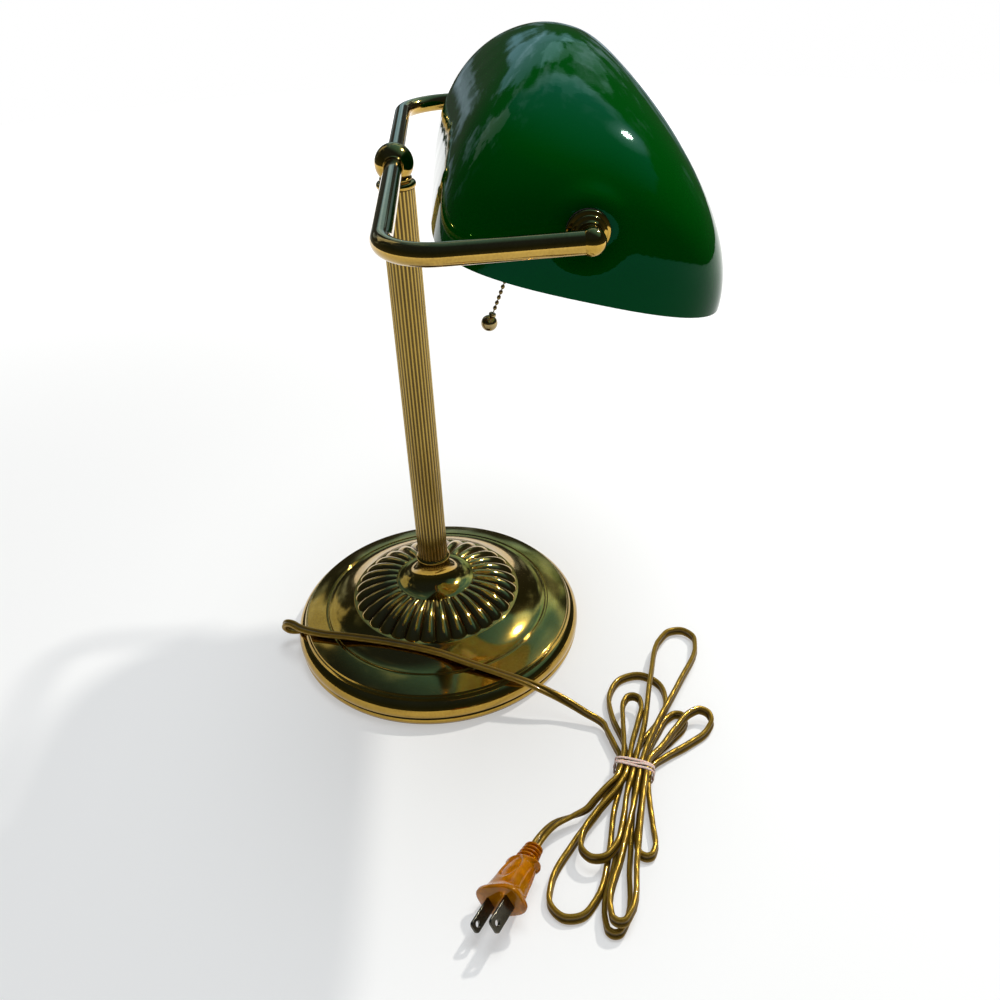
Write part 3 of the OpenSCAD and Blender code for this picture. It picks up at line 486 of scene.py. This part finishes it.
white_paper, root = new_finish("white_paper")
x, y, _ = root.node("TexCoord", {}, {}, 3).axes()
r = root.sum("SQRT", x * x + y * y)
away = root.node("MapRange", {"interpolation_type": "SMOOTHSTEP"}, {0: r, 1: 0.25, 2: 1.7})
shown_light = light_path(root, "Is Camera Ray", "Is Glossy Ray", "Is Transmission Ray") * (away * 0.62 + 0.4)
matt = root.node("BsdfDiffuse", {}, {"Color": (0.52, 0.52, 0.52)})
glow = root.node("Emission", {}, {"Color": (1, 1, 1), "Strength": shown_light})
root.node("OutputMaterial", {}, {"Surface": root.node("AddShader", {}, {0: matt, 1: glow})})
floor_mesh.materials.append(white_paper)

world = bpy.data.worlds.new("room")
scene.world = world
world.use_nodes = True
world.node_tree.nodes.clear()
root = Signal(world.node_tree)
way = root.node("TexCoord", {}, {}, 0)
wavy = root.node("TexNoise", {}, {"Vector": way, "Scale": 5.0, "Detail": 4.0}, 1)
wavy = root.node("VectorMath", {"operation": "MULTIPLY_ADD"}, {0: wavy, 1: (0.22, 0.22, 0.22), 2: (-0.11, -0.11, -0.11)})
wavy = root.node("VectorMath", {"operation": "ADD"}, {0: way, 1: wavy})
x, _, rise = way.axes()
room = root.node("ValToRGB", {"stops": [(0.0, (0.05, 0.055, 0.045)), (0.1, (0.035, 0.04, 0.035)),
                                        (0.45, (0.018, 0.026, 0.03)), (1.0, (0.02, 0.034, 0.09))]}, {0: rise})
small = root.node("ValToRGB", {"stops": [(0.0, (0, 0, 0)), (0.52, (0, 0, 0)), (0.56, (0.11, 0.15, 0.19)), (0.68, (0.45, 0.58, 0.7))]},
                  {0: noise(root, way, 4.2, 6.0, 0.65)})
small = patch(root, way, 5, 20, 10, 60).blend((0, 0, 0), small)
brink = wavy.axes()[2]
inside = root.node("MapRange", {"interpolation_type": "SMOOTHSTEP"}, {0: brink, 1: 0.575, 2: 0.63})
beyond = root.node("MapRange", {"interpolation_type": "SMOOTHSTEP"}, {0: brink, 1: 0.62, 2: 0.70})
for window in (small, (inside * patch(root, way, -42, 38, 0, 62)).blend((0, 0, 0), (0.08, 0.26, 0.58)),
               (inside * (1.0 - beyond) * patch(root, way, -14, 40, 8, 24)).blend((0, 0, 0), (0.45, 0.55, 0.55)),
               patch(root, way, -52, 44, 0, 10).blend((0, 0, 0), (1.0, 1.25, 1.5)),
               patch(root, wavy, 36, 31, 3, 9).blend((0, 0, 0), (0.48, 0.52, 0.50)),
               patch(root, wavy, -14, 29, 2, 8).blend((0, 0, 0), (0.18, 0.32, 0.32)),
               patch(root, wavy, 2, 20, 4, 14).blend((0, 0, 0), (0.2, 0.38, 0.5))):
    room = root.node("Mix", {"data_type": "RGBA", "blend_type": "ADD"}, {0: 1.0, 6: room, 7: window}, 2)
room = light_path(root, "Is Glossy Ray", "Is Transmission Ray").blend((0.21, 0.21, 0.21), room)
room = light_path(root, "Is Camera Ray").blend(room, (1, 1, 1))
root.node("OutputWorld", {}, {"Surface": root.node("Background", {}, {"Color": room, "Strength": 1.0})})
scene.view_settings.view_transform = "Standard"


def soft_lamp(name, at, aim, size, power, colour=(1, 1, 1), mirrored=True):
    lamp = bpy.data.lights.new(name, "AREA")
    lamp.shape, lamp.size, lamp.energy, lamp.color = "DISK", size, power, colour
    made = bpy.data.objects.new(name, lamp)
    made.location = at
    made.rotation_euler = (Vector(aim) - Vector(at)).to_track_quat("-Z", "Y").to_euler()
    made.visible_glossy = mirrored
    scene.collection.objects.link(made)


soft_lamp("key", (0.68, -1.03, 1.51), (0, 0, 0.15), 0.1, 23, (1, 0.97, 0.9))
soft_lamp("overhead", (0.1, -0.3, 1.6), (0, 0, 0.2), 0.9, 14, (0.9, 0.96, 1), False)
soft_lamp("fill", (-1.2, 0.5, 0.9), (0, 0, 0.15), 0.7, 1.5, (1, 0.98, 0.94), False)

# Base cover
# Spun from brass sheet over a form, then polished and lacquered: a bead at the foot, a domed rim,
# a flat plate with one turned groove, and a plateau that carries the petal ring.
base_r, plate_z, plateau_z, groove_r = 94.0, 20.0, 31.4, 73.3
foot_r, plate_r = base_r - 1.4, base_r - 6.3
petal_out_r, petal_in_r, petal_top_z = 53.7, 25.8, 42.3


def arc_line(centre, r, a0, a1, n):
    a = np.radians(np.linspace(a0, a1, n + 1))
    return list(zip(centre[0] + r * np.cos(a), centre[1] + r * np.sin(a)))


def eased(outline, r, closed=True):
    """The outline with each sharp corner eased by a small curve, as polishing leaves it."""
    p = [np.array(q, float) for q in outline]
    n = len(p)
    eased_line = []
    for i, b in enumerate(p):
        if not closed and i in (0, n - 1):
            eased_line.append(b)
            continue
        a, c = p[i - 1], p[(i + 1) % n]
        la, lc = np.linalg.norm(a - b), np.linalg.norm(c - b)
        if la < 1e-6 or lc < 1e-6:
            continue
        bend = math.acos(max(-1, min(1, float((b - a) @ (c - b) / (la * lc)))))
        if bend < math.radians(20):
            eased_line.append(b)
            continue
        q0, q1 = b + (a - b) * min(r / la, 0.4), b + (c - b) * min(r / lc, 0.4)
        eased_line += [(1 - k) ** 2 * q0 + 2 * k * (1 - k) * b + k * k * q1 for k in (0, 0.25, 0.5, 0.75, 1)]
    return eased_line


def turned(name, outline, sides=160, matrix=None, closed=True, ease_r=0.25):
    """A piece turned on a lathe: radius and height pairs, in millimetres, spun about Z."""
    line = np.array(eased(outline, ease_r, closed) if ease_r else outline, float)
    a = np.linspace(0, math.tau, sides + 1)[:-1]
    rings = np.stack([line[:, :1] * np.cos(a), line[:, :1] * np.sin(a), np.repeat(line[:, 1:], sides, 1)], -1)
    return loft(name, placed(rings, matrix) if matrix else rings, caps=False, loop=closed)


bulb_rim = arc_line((base_r - 8, 9.6), 8, -18, 66, 24)
rise_line = [(mix(groove_r - 1, petal_out_r + 1, k), mix(23.5, plateau_z, k**1.5)) for k in np.linspace(0, 1, 24)[1:]]
cover_line = ([(foot_r - 0.4, 0.6)] + arc_line((foot_r - 2.6, 3.7), 3.4, -55, 55, 14) + bulb_rim
              + [(plate_r + 0.6, plate_z - 1.2), (plate_r, plate_z - 1.4), (plate_r - 0.6, plate_z),
                 (groove_r + 1, 23.1), (groove_r + 0.6, 22.3), (groove_r - 0.6, 22.4), (groove_r - 1, 23.5)] + rise_line
              + [(petal_out_r - 2, plateau_z), (5, plateau_z), (5, plateau_z - 1.2), (petal_out_r, plateau_z - 1.2),
                 (groove_r - 10, 24.4), (groove_r + 2, 21.2), (plate_r + 1, 17.3), (base_r - 3, 13),
                 (base_r - 2.8, 7.6), (foot_r - 1.6, 6), (foot_r - 1.6, 0.6)])
spun_cover = turned("spun_cover", cover_line, 256)
gold, olive = (0.56, 0.355, 0.06), (0.30, 0.17, 0.02)


def spun_marks(root, place):
    x, y, _ = place.axes()
    r = root.sum("SQRT", x * x + y * y)
    return root.sum("SINE", r * 9000.0) * 0.08 + root.sum("SINE", r * 23170.0) * 0.04


spun_brass = metal("spun_brass", gold, olive, 0.07, 0.05, 60.0, spun_marks, 0.2)
spun_cover.data.materials.append(spun_brass)
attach(spun_cover, "stand")
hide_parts("base_cover")

# Petal ring
# Cast in one piece and buffed: thirty-two rounded petals that swell from the plateau and close in
# on the column's foot, with a narrow groove between each two, darkened there by painted shade.
petals, steps_up, per_petal = 32, 40, 20
count = petals * per_petal
around = np.linspace(0, math.tau, count + 1)[:-1]
petal_rise = petal_top_z - plateau_z


def petal_back(k):
    a = math.pi / 2 * k
    return np.array([mix(petal_out_r, petal_in_r, k**1.35), plateau_z + petal_rise * (math.sin(a) * 1.06 - 0.06 * k)])


rings = []
for i in range(steps_up + 1):
    k = i / steps_up
    here, run_up = petal_back(k), petal_back(min(1, k + 0.02)) - petal_back(max(0, k - 0.02))
    run_up /= np.linalg.norm(run_up)
    depth = 2.3 * math.sin(math.radians(mix(52, 150, k))) ** 1.2
    dip = depth * (1 - abs(np.sin(petals * around / 2)) ** 0.85)
    r, z = here[0] - dip * run_up[1], np.maximum(plateau_z - 0.05, here[1] + dip * run_up[0])
    rings.append(np.stack([r * np.cos(around), r * np.sin(around), z], 1))
for r, z in ((petal_in_r - 0.4, petal_top_z - 0.3), (petal_in_r - 0.9, petal_top_z - 2.2), (20, petal_top_z - 2.2), (20, plateau_z)):
    rings.append(np.stack([r * np.cos(around), r * np.sin(around), np.full(count, z)], 1))
petal_casting = loft("petal_casting", rings, loop=True)


cast_brass, root = new_finish("cast_brass")
place = root.node("TexCoord", {}, {}, 3)
x, y, z = place.axes()
turn = root.sum("ARCTAN2", y, x)
# Painted shade: the colour darkens to near black toward the bottom of each groove between the petals.
petal_groove_shade = 1.0 - root.sum("ABSOLUTE", root.sum("SINE", turn * (petals / 2)))
petal_groove_shade = root.sum("POWER", petal_groove_shade, 2.0)
cloud = noise(root, place, 90.0, 4.0)
fine = noise(root, place, 1500.0, 2.0)
close_finish(cast_brass, root, {
    "Base Color": root.sum("MINIMUM", petal_groove_shade * 0.85 + cloud * fine * 0.6, 1.0).blend(gold, (0.12, 0.06, 0.01)),
    "Metallic": 1.0, "Roughness": petal_groove_shade * 0.25 + cloud * 0.06 + 0.05, "Normal": bump(root, fine * 0.4 + cloud * 2.5, 0.00005, 0.4),
    "Coat Weight": 0.5, "Coat Roughness": 0.04})
petal_casting.data.materials.append(cast_brass)
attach(petal_casting, "stand")
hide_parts("petal_ring")

# Felt, weight and fastenings inside the base
# A pressed felt disc under a cast iron weight; the threaded rod's nut and washer draw them up
# against the cover. The lead leaves through a black plastic bushing.


def dress(finish, *names):
    """Gives CAD solids whose shape is right their own finish."""
    for name in names:
        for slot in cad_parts[name].material_slots:
            slot.material = finish


felt, root = new_finish("green_felt")
place = root.node("TexCoord", {}, {}, 3)
fibre = noise(root, place, 2600.0, 4.0, 0.7)
patch = noise(root, place, 90.0)
close_finish(felt, root, {"Base Color": (fibre * 0.7 + patch * 0.4).blend((0.008, 0.03, 0.014), (0.05, 0.12, 0.06)),
                          "Roughness": 0.95, "Normal": bump(root, fibre, 0.0004), "Sheen Weight": 0.4})
dress(felt, "felt_pad")
cast_iron, root = new_finish("cast_iron")
place = root.node("TexCoord", {}, {}, 3)
sand = noise(root, place, 700.0, 4.0, 0.65)
close_finish(cast_iron, root, {"Base Color": sand.blend((0.03, 0.03, 0.03), (0.12, 0.11, 0.1)), "Metallic": 0.6,
                               "Roughness": sand * 0.2 + 0.55, "Normal": bump(root, sand, 0.0004)})
dress(cast_iron, "base_weight")
zinc = metal("zinc_plate", (0.66, 0.64, 0.6), (0.3, 0.29, 0.27), 0.3)
dress(zinc, "threaded_rod", "base_nut", "base_washer", "yoke_set_screw", "lock_nuts", "pivot_nipples")
black_plastic, root = new_finish("black_plastic")
place = root.node("TexCoord", {}, {}, 3)
skin = noise(root, place, 1800.0, 3.0)
close_finish(black_plastic, root, {"Base Color": skin.blend((0.012, 0.012, 0.012), (0.04, 0.038, 0.035)),
                                   "Roughness": skin * 0.2 + 0.35, "Normal": bump(root, skin, 0.0001)})
dress(black_plastic, "cord_bushing", "pivot_grommets")
dress(clear_vinyl, "column_leads")

# Column foot
# Turned brass trumpet that seats in the petal ring and narrows to a thin collar under the tube.
column_r, column_z, column_top_z, reeds = 9.5, 61.0, 295.5, 28
rod_r, seat_z = 4.78, petal_top_z - 2
flare = [(mix(petal_in_r - 0.5, 10.2, 1 - (1 - k) ** 2.4), mix(seat_z + 1.6, column_z - 3, k**1.5)) for k in np.linspace(0, 1, 40)]
trumpet = turned("trumpet_foot", [(petal_in_r - 0.5, seat_z)] + flare + arc_line((10, column_z - 1.7), 0.9, -70, 70, 10)
                 + [(9.6, column_z), (rod_r + 0.1, column_z), (rod_r + 0.1, seat_z)], 128)
turned_brass = metal("turned_brass", gold, olive, 0.06, 0.04, 80.0, None, 0.2)
trumpet.data.materials.append(turned_brass)
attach(trumpet, "stand")
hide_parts("column_foot")

# Column
# Drawn brass tube with twenty-eight rounded reeds along it, with painted shade darkening the valleys between them.
reed_r = 0.62
valley_r = column_r - reed_r * 0.7
profile = []
for i in range(reeds):
    a = math.tau * i / reeds
    reach_x = column_r - reed_r
    for b in np.radians(np.linspace(-68, 68, 11)):
        x, y = reach_x + reed_r * math.cos(b), reed_r * math.sin(b)
        profile.append((x * math.cos(a) - y * math.sin(a), x * math.sin(a) + y * math.cos(a)))
    for b in (0.42, 0.5, 0.58):
        a_mid = a + math.tau / reeds * b
        profile.append((valley_r * math.cos(a_mid), valley_r * math.sin(a_mid)))
profile = np.array(profile)
heights = np.linspace(column_z, column_top_z, 24)
rings = np.stack([np.concatenate([profile, np.full((len(profile), 1), z)], 1) for z in heights])
reeded_tube = loft("reeded_tube", rings)
reed_brass, root = new_finish("reeded_brass")
place = root.node("TexCoord", {}, {}, 3)
x, y, z = place.axes()
r = root.sum("SQRT", x * x + y * y)
# Painted shade: the colour darkens in the valleys between the reeds.
reed_valley_shade = root.sum("MINIMUM", root.sum("MAXIMUM", ((column_r - 0.08) * MM - r) * (1 / (0.32 * MM)), 0.0), 1.0)
drawn = root.node("Mapping", {}, {0: place, 3: (900.0, 900.0, 12.0)})
streak = noise(root, drawn, 1.0, 3.0)
cloud = noise(root, place, 45.0, 4.0)
close_finish(reed_brass, root, {
    "Base Color": root.sum("MINIMUM", reed_valley_shade * 0.8 + cloud * streak * 0.5, 1.0).blend((0.47, 0.315, 0.062), (0.07, 0.04, 0.006)),
    "Metallic": 1.0, "Roughness": reed_valley_shade * 0.2 + streak * 0.12 + 0.08, "Normal": bump(root, streak, 0.00004, 0.3),
    "Coat Weight": 0.3, "Coat Roughness": 0.06})
reeded_tube.data.materials.append(reed_brass)
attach(reeded_tube, "stand")
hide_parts("column_tube")

# Neck ring and ball
# A turned ring cupped for the ball, and the drilled ball that the yoke's tube passes through.
ball_r, ball_z, tube_r = 10.0, column_top_z + 12.3, 4.75
neck_line = ([(rod_r + 0.1, column_top_z - 6), (column_r - 1.55, column_top_z - 6), (column_r - 1.55, column_top_z), (9.6, column_top_z)]
             + arc_line((8.6, column_top_z + 1.8), 1.8, -80, 80, 16) + [(8.2, column_top_z + 3.8)]
             + arc_line((7.6, column_top_z + 4.9), 0.9, -60, 50, 8) + [(6.2, column_top_z + 5.2), (rod_r + 0.1, column_top_z + 4.4)])
neck_ring = turned("neck_ring", neck_line, 96)
neck_ring.data.materials.append(turned_brass)
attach(neck_ring, "stand")
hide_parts("column_cap")
start = math.degrees(math.asin(5.5 / ball_r))
ball_line = ([(tube_r + 0.05, -7.4), (tube_r + 0.05, -8.95), (5.25, -9.0), (5.45, -8.6)]
             + [(ball_r * math.sin(math.radians(a)), -ball_r * math.cos(math.radians(a))) for a in np.linspace(start, 180 - start, 48)]
             + [(5.45, 8.6), (5.25, 9.0), (tube_r + 0.05, 8.95), (tube_r + 0.05, 7.4)])
along_x = Matrix.Rotation(math.pi / 2, 4, "Y")
drilled_ball = turned("drilled_ball", ball_line, 96, Matrix.Translation((0, 0, ball_z)) @ along_x, ease_r=0.12)
drilled_ball.data.materials.append(turned_brass)
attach(drilled_ball, "stand")
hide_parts("yoke_ball")

# Yoke tube
# One brass tube, bent twice: a back bar through the ball and two arms that reach forward to the
# shade. Its end balls close the arms and take the pivots.
yoke_half, arm_reach, bend_r, yoke_rise = 142.0, 82.0, 25.0, math.radians(1.5)
yoke_place = Matrix.Translation((0, 0, ball_z)) @ Matrix.Rotation(-yoke_rise, 4, "X")
bar = yoke_half - bend_r
half_path = [(yoke_half, -y) for y in np.linspace(arm_reach - 3, bend_r, 12)]
half_path += [(bar + bend_r * math.cos(a), -bend_r + bend_r * math.sin(a)) for a in np.radians(np.linspace(0, 90, 25))[1:]]
half_path += [(x, 0.0) for x in np.linspace(bar, 0, 16)[1:]]
path = np.array(half_path + [(-x, y) for x, y in half_path[-2::-1]])
run = np.gradient(path, axis=0)
run /= np.linalg.norm(run, axis=1)[:, None]
side = np.stack([-run[:, 1], run[:, 0]], 1)
a = np.linspace(0, math.tau, 49)[:-1]
rings = np.stack([np.concatenate([p + s * tube_r * c, [tube_r * n]]) for p, s in zip(path, side)
                  for c, n in zip(np.cos(a), np.sin(a))]).reshape(len(path), 48, 3)
bent_tube = loft("bent_tube", placed(rings, yoke_place))


def drawn_marks(root, place):
    return noise(root, root.node("Mapping", {}, {0: place, 3: (60.0, 60.0, 1500.0)}), 1.0, 3.0) * 0.15


drawn_brass = metal("drawn_brass", gold, olive, 0.06, 0.04, 70.0, drawn_marks, 0.5)
bent_tube.data.materials.append(drawn_brass)
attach(bent_tube, "yoke")
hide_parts("yoke_tube")
end_r = 5.6
cut = math.degrees(math.acos(3 / end_r))
ball_line = ([(3.5, 11.0), (3.53, 3.0), (4.7, 3.0)]
             + [(end_r * math.sin(math.radians(b)), end_r * math.cos(math.radians(b))) for b in np.linspace(cut, 180, 40)])
ends = []
for side in (-1, 1):
    matrix = yoke_place @ Matrix.Translation((side * yoke_half, -arm_reach, 0)) @ Matrix.Rotation(-math.pi / 2, 4, "X")
    ends.append(turned(f"end_{side}", ball_line, 72, matrix, closed=False, ease_r=0))
end_balls = joined("end_balls", ends)
end_balls.data.materials.append(turned_brass)
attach(end_balls, "yoke")
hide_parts("yoke_end_balls")

# Pivots
# Stepped brass rosettes clamp the glass between rubber grommets, with a nut and washer inside.
pivot_place = yoke_place @ Matrix.Translation((0, -arm_reach, 0))
seat_x, nipple_r = 127.9, 3.2
rosette_x = seat_x + 1.2
rosette_t = yoke_half - 5.0 - rosette_x
rosette_line = ([(nipple_r, 0), (8.5, 0)] + arc_line((7.9, 1.1), 1, -60, 75, 12) + [(7.2, 2.3)]
                + arc_line((6.5, 3.3), 0.9, -50, 70, 10) + [(5.9, 4.4), (5.3, 5.2), (5, 6.4), (5, rosette_t), (nipple_r, rosette_t)])
ends = []
for side in (-1, 1):
    matrix = pivot_place @ Matrix.Translation((side * rosette_x, 0, 0)) @ Matrix.Rotation(side * math.pi / 2, 4, "Y")
    ends.append(turned(f"rosette_{side}", rosette_line, 72, matrix, ease_r=0.18))
rosettes = joined("rosettes", ends)
rosettes.data.materials.append(turned_brass)
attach(rosettes, "yoke")
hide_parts("pivot_rosettes")
dress(turned_brass, "inner_washers")

# Socket
# Brass shell, cap and stem on the pivot axis, a fibre liner, a moulded switch body, and the
# flared guide that the chain leaves by.
lamp_brass = metal("lamp_holder_brass", (0.80, 0.60, 0.26), olive, 0.2, 0.1, 90.0)
dress(lamp_brass, "socket_stem", "socket_cap", "socket_shell", "screw_shell", "centre_contact", "chain_bell")
paper_fibre, root = new_finish("paper_fibre")
place = root.node("TexCoord", {}, {}, 3)
pulp = noise(root, place, 1200.0, 4.0)
close_finish(paper_fibre, root, {"Base Color": pulp.blend((0.42, 0.34, 0.22), (0.72, 0.64, 0.48)), "Roughness": 0.85,
                                 "Normal": bump(root, pulp, 0.0002)})
dress(paper_fibre, "socket_liner")
phenolic, root = new_finish("phenolic")
place = root.node("TexCoord", {}, {}, 3)
flow = noise(root, place, 260.0, 4.0)
close_finish(phenolic, root, {"Base Color": flow.blend((0.03, 0.012, 0.008), (0.11, 0.05, 0.03)),
                              "Roughness": flow * 0.15 + 0.25, "Normal": bump(root, flow, 0.0001)})
dress(phenolic, "socket_body")

# Bulb
# Frosted tubular bulb with a nickel plated cap.
frosted, root = new_finish("frosted_glass")
place = root.node("TexCoord", {}, {}, 3)
frost = noise(root, place, 1600.0, 3.0)
close_finish(frosted, root, {"Base Color": frost.blend((0.78, 0.78, 0.74), (0.9, 0.9, 0.87)), "Roughness": frost * 0.2 + 0.35,
                             "Normal": bump(root, frost, 0.00008), "Subsurface Weight": 0.4, "Subsurface Scale": 0.005})
dress(frosted, "bulb_glass")
dress(metal("bright_nickel", (0.72, 0.7, 0.64), (0.4, 0.38, 0.33), 0.22), "bulb_base")

# Glass shade
# Blown in two layers, deep green over opal white, with its rim ground flat and a flat seat and
# hole at each end for the pivots.
shade_a, shade_b, shade_h, glass_t = 130.2, 66.9, 83.5, 3.0
shade_tilt, pivot_w, pivot_u, crown_lean = math.radians(15.4), 28.1, 9.0, 16.2
shade_place = pivot_place @ Matrix.Rotation(shade_tilt + yoke_rise, 4, "X") @ Matrix.Translation((0, -pivot_u, -pivot_w))
seat_t = 3.6


def dome(s, c):
    return c * math.sqrt(max(0, (s * (math.sqrt(1 + 1 / c**2) - 1) + 1) ** 2 - 1))


def shade_ring(h, inset, count=224):
    """Ring of the glass at height h, from 0 at the rim to 1 at the crown, with evenly spaced points."""
    a = (shade_a - inset) * dome(1 - h**4.19, 0.36)
    b = (shade_b - inset) * dome(1 - h**1.98, 0.45)
    square_x, square_y = mix(8.1, 3, h**1.5), mix(2.6, 2.2, h**1.5)
    turn = np.linspace(0, math.tau, 4001)
    c, n = np.cos(turn), np.sin(turn)
    x, y = a * np.sign(c) * abs(c) ** (2 / square_x), b * np.sign(n) * abs(n) ** (2 / square_y)
    walked = np.concatenate([[0], np.cumsum(np.hypot(np.diff(x), np.diff(y)))])
    even = np.linspace(0, walked[-1], count + 1)[:-1]
    z = h * (shade_h - inset)
    ring = np.stack([np.interp(even, walked, x), np.interp(even, walked, y) + crown_lean * h**1.38, np.full(count, z)], 1)
    from_pivot = np.hypot(ring[:, 1] - pivot_u, ring[:, 2] - pivot_w)
    flat = np.array([1 - ease((d - 9.4) / 9) for d in from_pivot]) * (abs(ring[:, 0]) > 90)
    seat = np.sign(ring[:, 0]) * (seat_x if inset == 0 else seat_x - seat_t)
    ring[:, 0] = mix(ring[:, 0], seat, flat)
    return ring


levels = [1 - (1 - k) ** 1.7 for k in np.linspace(0, 1, 72)[:-1]]
outer, inner = [shade_ring(h, 0) for h in levels], [shade_ring(h, glass_t) for h in levels]
crown_out, crown_in = np.tile([0, crown_lean, shade_h], (224, 1)), np.tile([0, crown_lean, shade_h - glass_t], (224, 1))
rim = []
for k in (0.12, 0.3, 0.5, 0.7, 0.88):
    ring = mix(outer[0], inner[0], k)
    ring[:, 2] -= 0.55 * math.sin(math.pi * k) ** 0.6 - 0.3
    rim.append(ring)
skin = np.stack([crown_out] + outer[::-1] + rim + inner + [crown_in])
cased_shade = loft("cased_shade", placed(skin, shade_place), caps=False)
green_glass, root = new_finish("green_cased_glass")
place = root.node("TexCoord", {}, {}, 3)
x, y, z = place.axes()
drift = noise(root, place, 9.0, 3.0)
seeds = noise(root, place, 420.0, 2.0)
# Painted shade: the green darkens toward the crown, over a random drift in the glass's own colour.
height = root.sum("MINIMUM", root.sum("MAXIMUM", (z - 0.27) * (1 / 0.09), 0.0), 1.0)
depth = height * 0.35 + drift * 0.35
close_finish(green_glass, root, {
    "Base Color": depth.blend((0.0, 0.066, 0.002), (0.0, 0.024, 0.001)), "Roughness": drift * 0.03 + 0.03,
    "Normal": bump(root, drift * 14.0 + seeds * 0.15, 0.00035, 0.3), "IOR": 1.5, "Specular IOR Level": 0.16,
    "Specular Tint": (0.12, 1.0, 0.7)})
opal, root = new_finish("opal_white_glass")
place = root.node("TexCoord", {}, {}, 3)
milk = noise(root, place, 30.0, 3.0)
# The opal's pale green is partly the green layer showing through and partly painted light, the glow of light let
# through the green casing.
close_finish(opal, root, {"Base Color": milk.blend((0.64, 0.76, 0.60), (0.76, 0.86, 0.72)), "Roughness": milk * 0.1 + 0.12,
                          "Normal": bump(root, milk, 0.0003, 0.3), "Subsurface Weight": 0.4, "Subsurface Scale": 0.004,
                          "Coat Weight": 0.3, "Coat Roughness": 0.05})
ground_edge, root = new_finish("ground_glass_edge")
place = root.node("TexCoord", {}, {}, 3)
grit = noise(root, place, 2400.0, 3.0)
close_finish(ground_edge, root, {"Base Color": grit.blend((0.14, 0.34, 0.2), (0.35, 0.55, 0.42)), "Roughness": grit * 0.2 + 0.4,
                                 "Normal": bump(root, grit, 0.0001)})
for finish in (green_glass, opal, ground_edge):
    cased_shade.data.materials.append(finish)
rows_out = len(outer)
for face in cased_shade.data.polygons:
    local = shade_place.inverted() @ Vector(face.center * 1000)
    outward = (shade_place.to_3x3().inverted() @ face.normal)
    if local.z < 0.35 and outward.z < -0.5:
        face.material_index = 2
    elif local.z < shade_h * 0.985 and (outward.x * local.x / shade_a**2 + outward.y * (local.y - crown_lean * max(0, local.z / shade_h) ** 1.38) / shade_b**2
                                        + outward.z * max(local.z, 0) / shade_h**2) < 0:
        face.material_index = 1
    elif local.z < shade_h - 1.5 and local.z > shade_h * 0.9 and outward.z < 0:
        face.material_index = 1
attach(cased_shade, "shade")
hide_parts("glass_shade")

# Pull chain
# Brass beads strung on wire dumb-bells, darkened by handling, with a turned pendant at the end.
chain_x, chain_lean, bead_pitch, bead_r, pendant_at, joint_at = 5.0, math.radians(22), 3.25, 1.2, 100.5, 32.0
chain_place = pivot_place @ Matrix.Translation((chain_x, 0, 0)) @ Matrix.Rotation(math.pi + chain_lean + yoke_rise, 4, "X")
first = joint_at + 4
beads = int((pendant_at - 7.3 - first) / bead_pitch) + 1
bead_line = [(0, joint_at - 0.9), (0.75, joint_at - 0.7), (0.8, joint_at + 1.0), (0.35, joint_at + 2.4)]
for i in range(beads):
    at = first + i * bead_pitch
    bead_line += [(bead_r * 0.96 * math.sin(b), at - bead_r * 1.12 * math.cos(b)) for b in np.radians(np.linspace(18, 162, 13))]
bead_line += [(0.35, pendant_at - 6.2), (0, pendant_at - 6.0)]
bead_chain = turned("bead_chain", bead_line, 20, chain_place, closed=False, ease_r=0)
dark_brass = metal("handled_brass", (0.30, 0.21, 0.08), (0.05, 0.035, 0.015), 0.24, 0.12, 200.0)
bead_chain.data.materials.append(dark_brass)
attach(bead_chain, "chain")
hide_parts("pull_chain")
pendant_line = ([(0, pendant_at - 6.1), (1.7, pendant_at - 6), (2.1, pendant_at - 5.5), (2.1, pendant_at - 4.7), (1.6, pendant_at - 4.2)]
                + arc_line((0, pendant_at + 0.3), 4.6, -66, 90, 30))
pendant = turned("ball_pendant", pendant_line, 64, chain_place, closed=False, ease_r=0)
pendant_brass = metal("pendant_brass", (0.45, 0.34, 0.15), (0.10, 0.07, 0.03), 0.16, 0.1, 160.0)
pendant.data.materials.append(pendant_brass)
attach(pendant, "chain")
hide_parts("chain_pendant")
dress(dark_brass, "switch_chain")
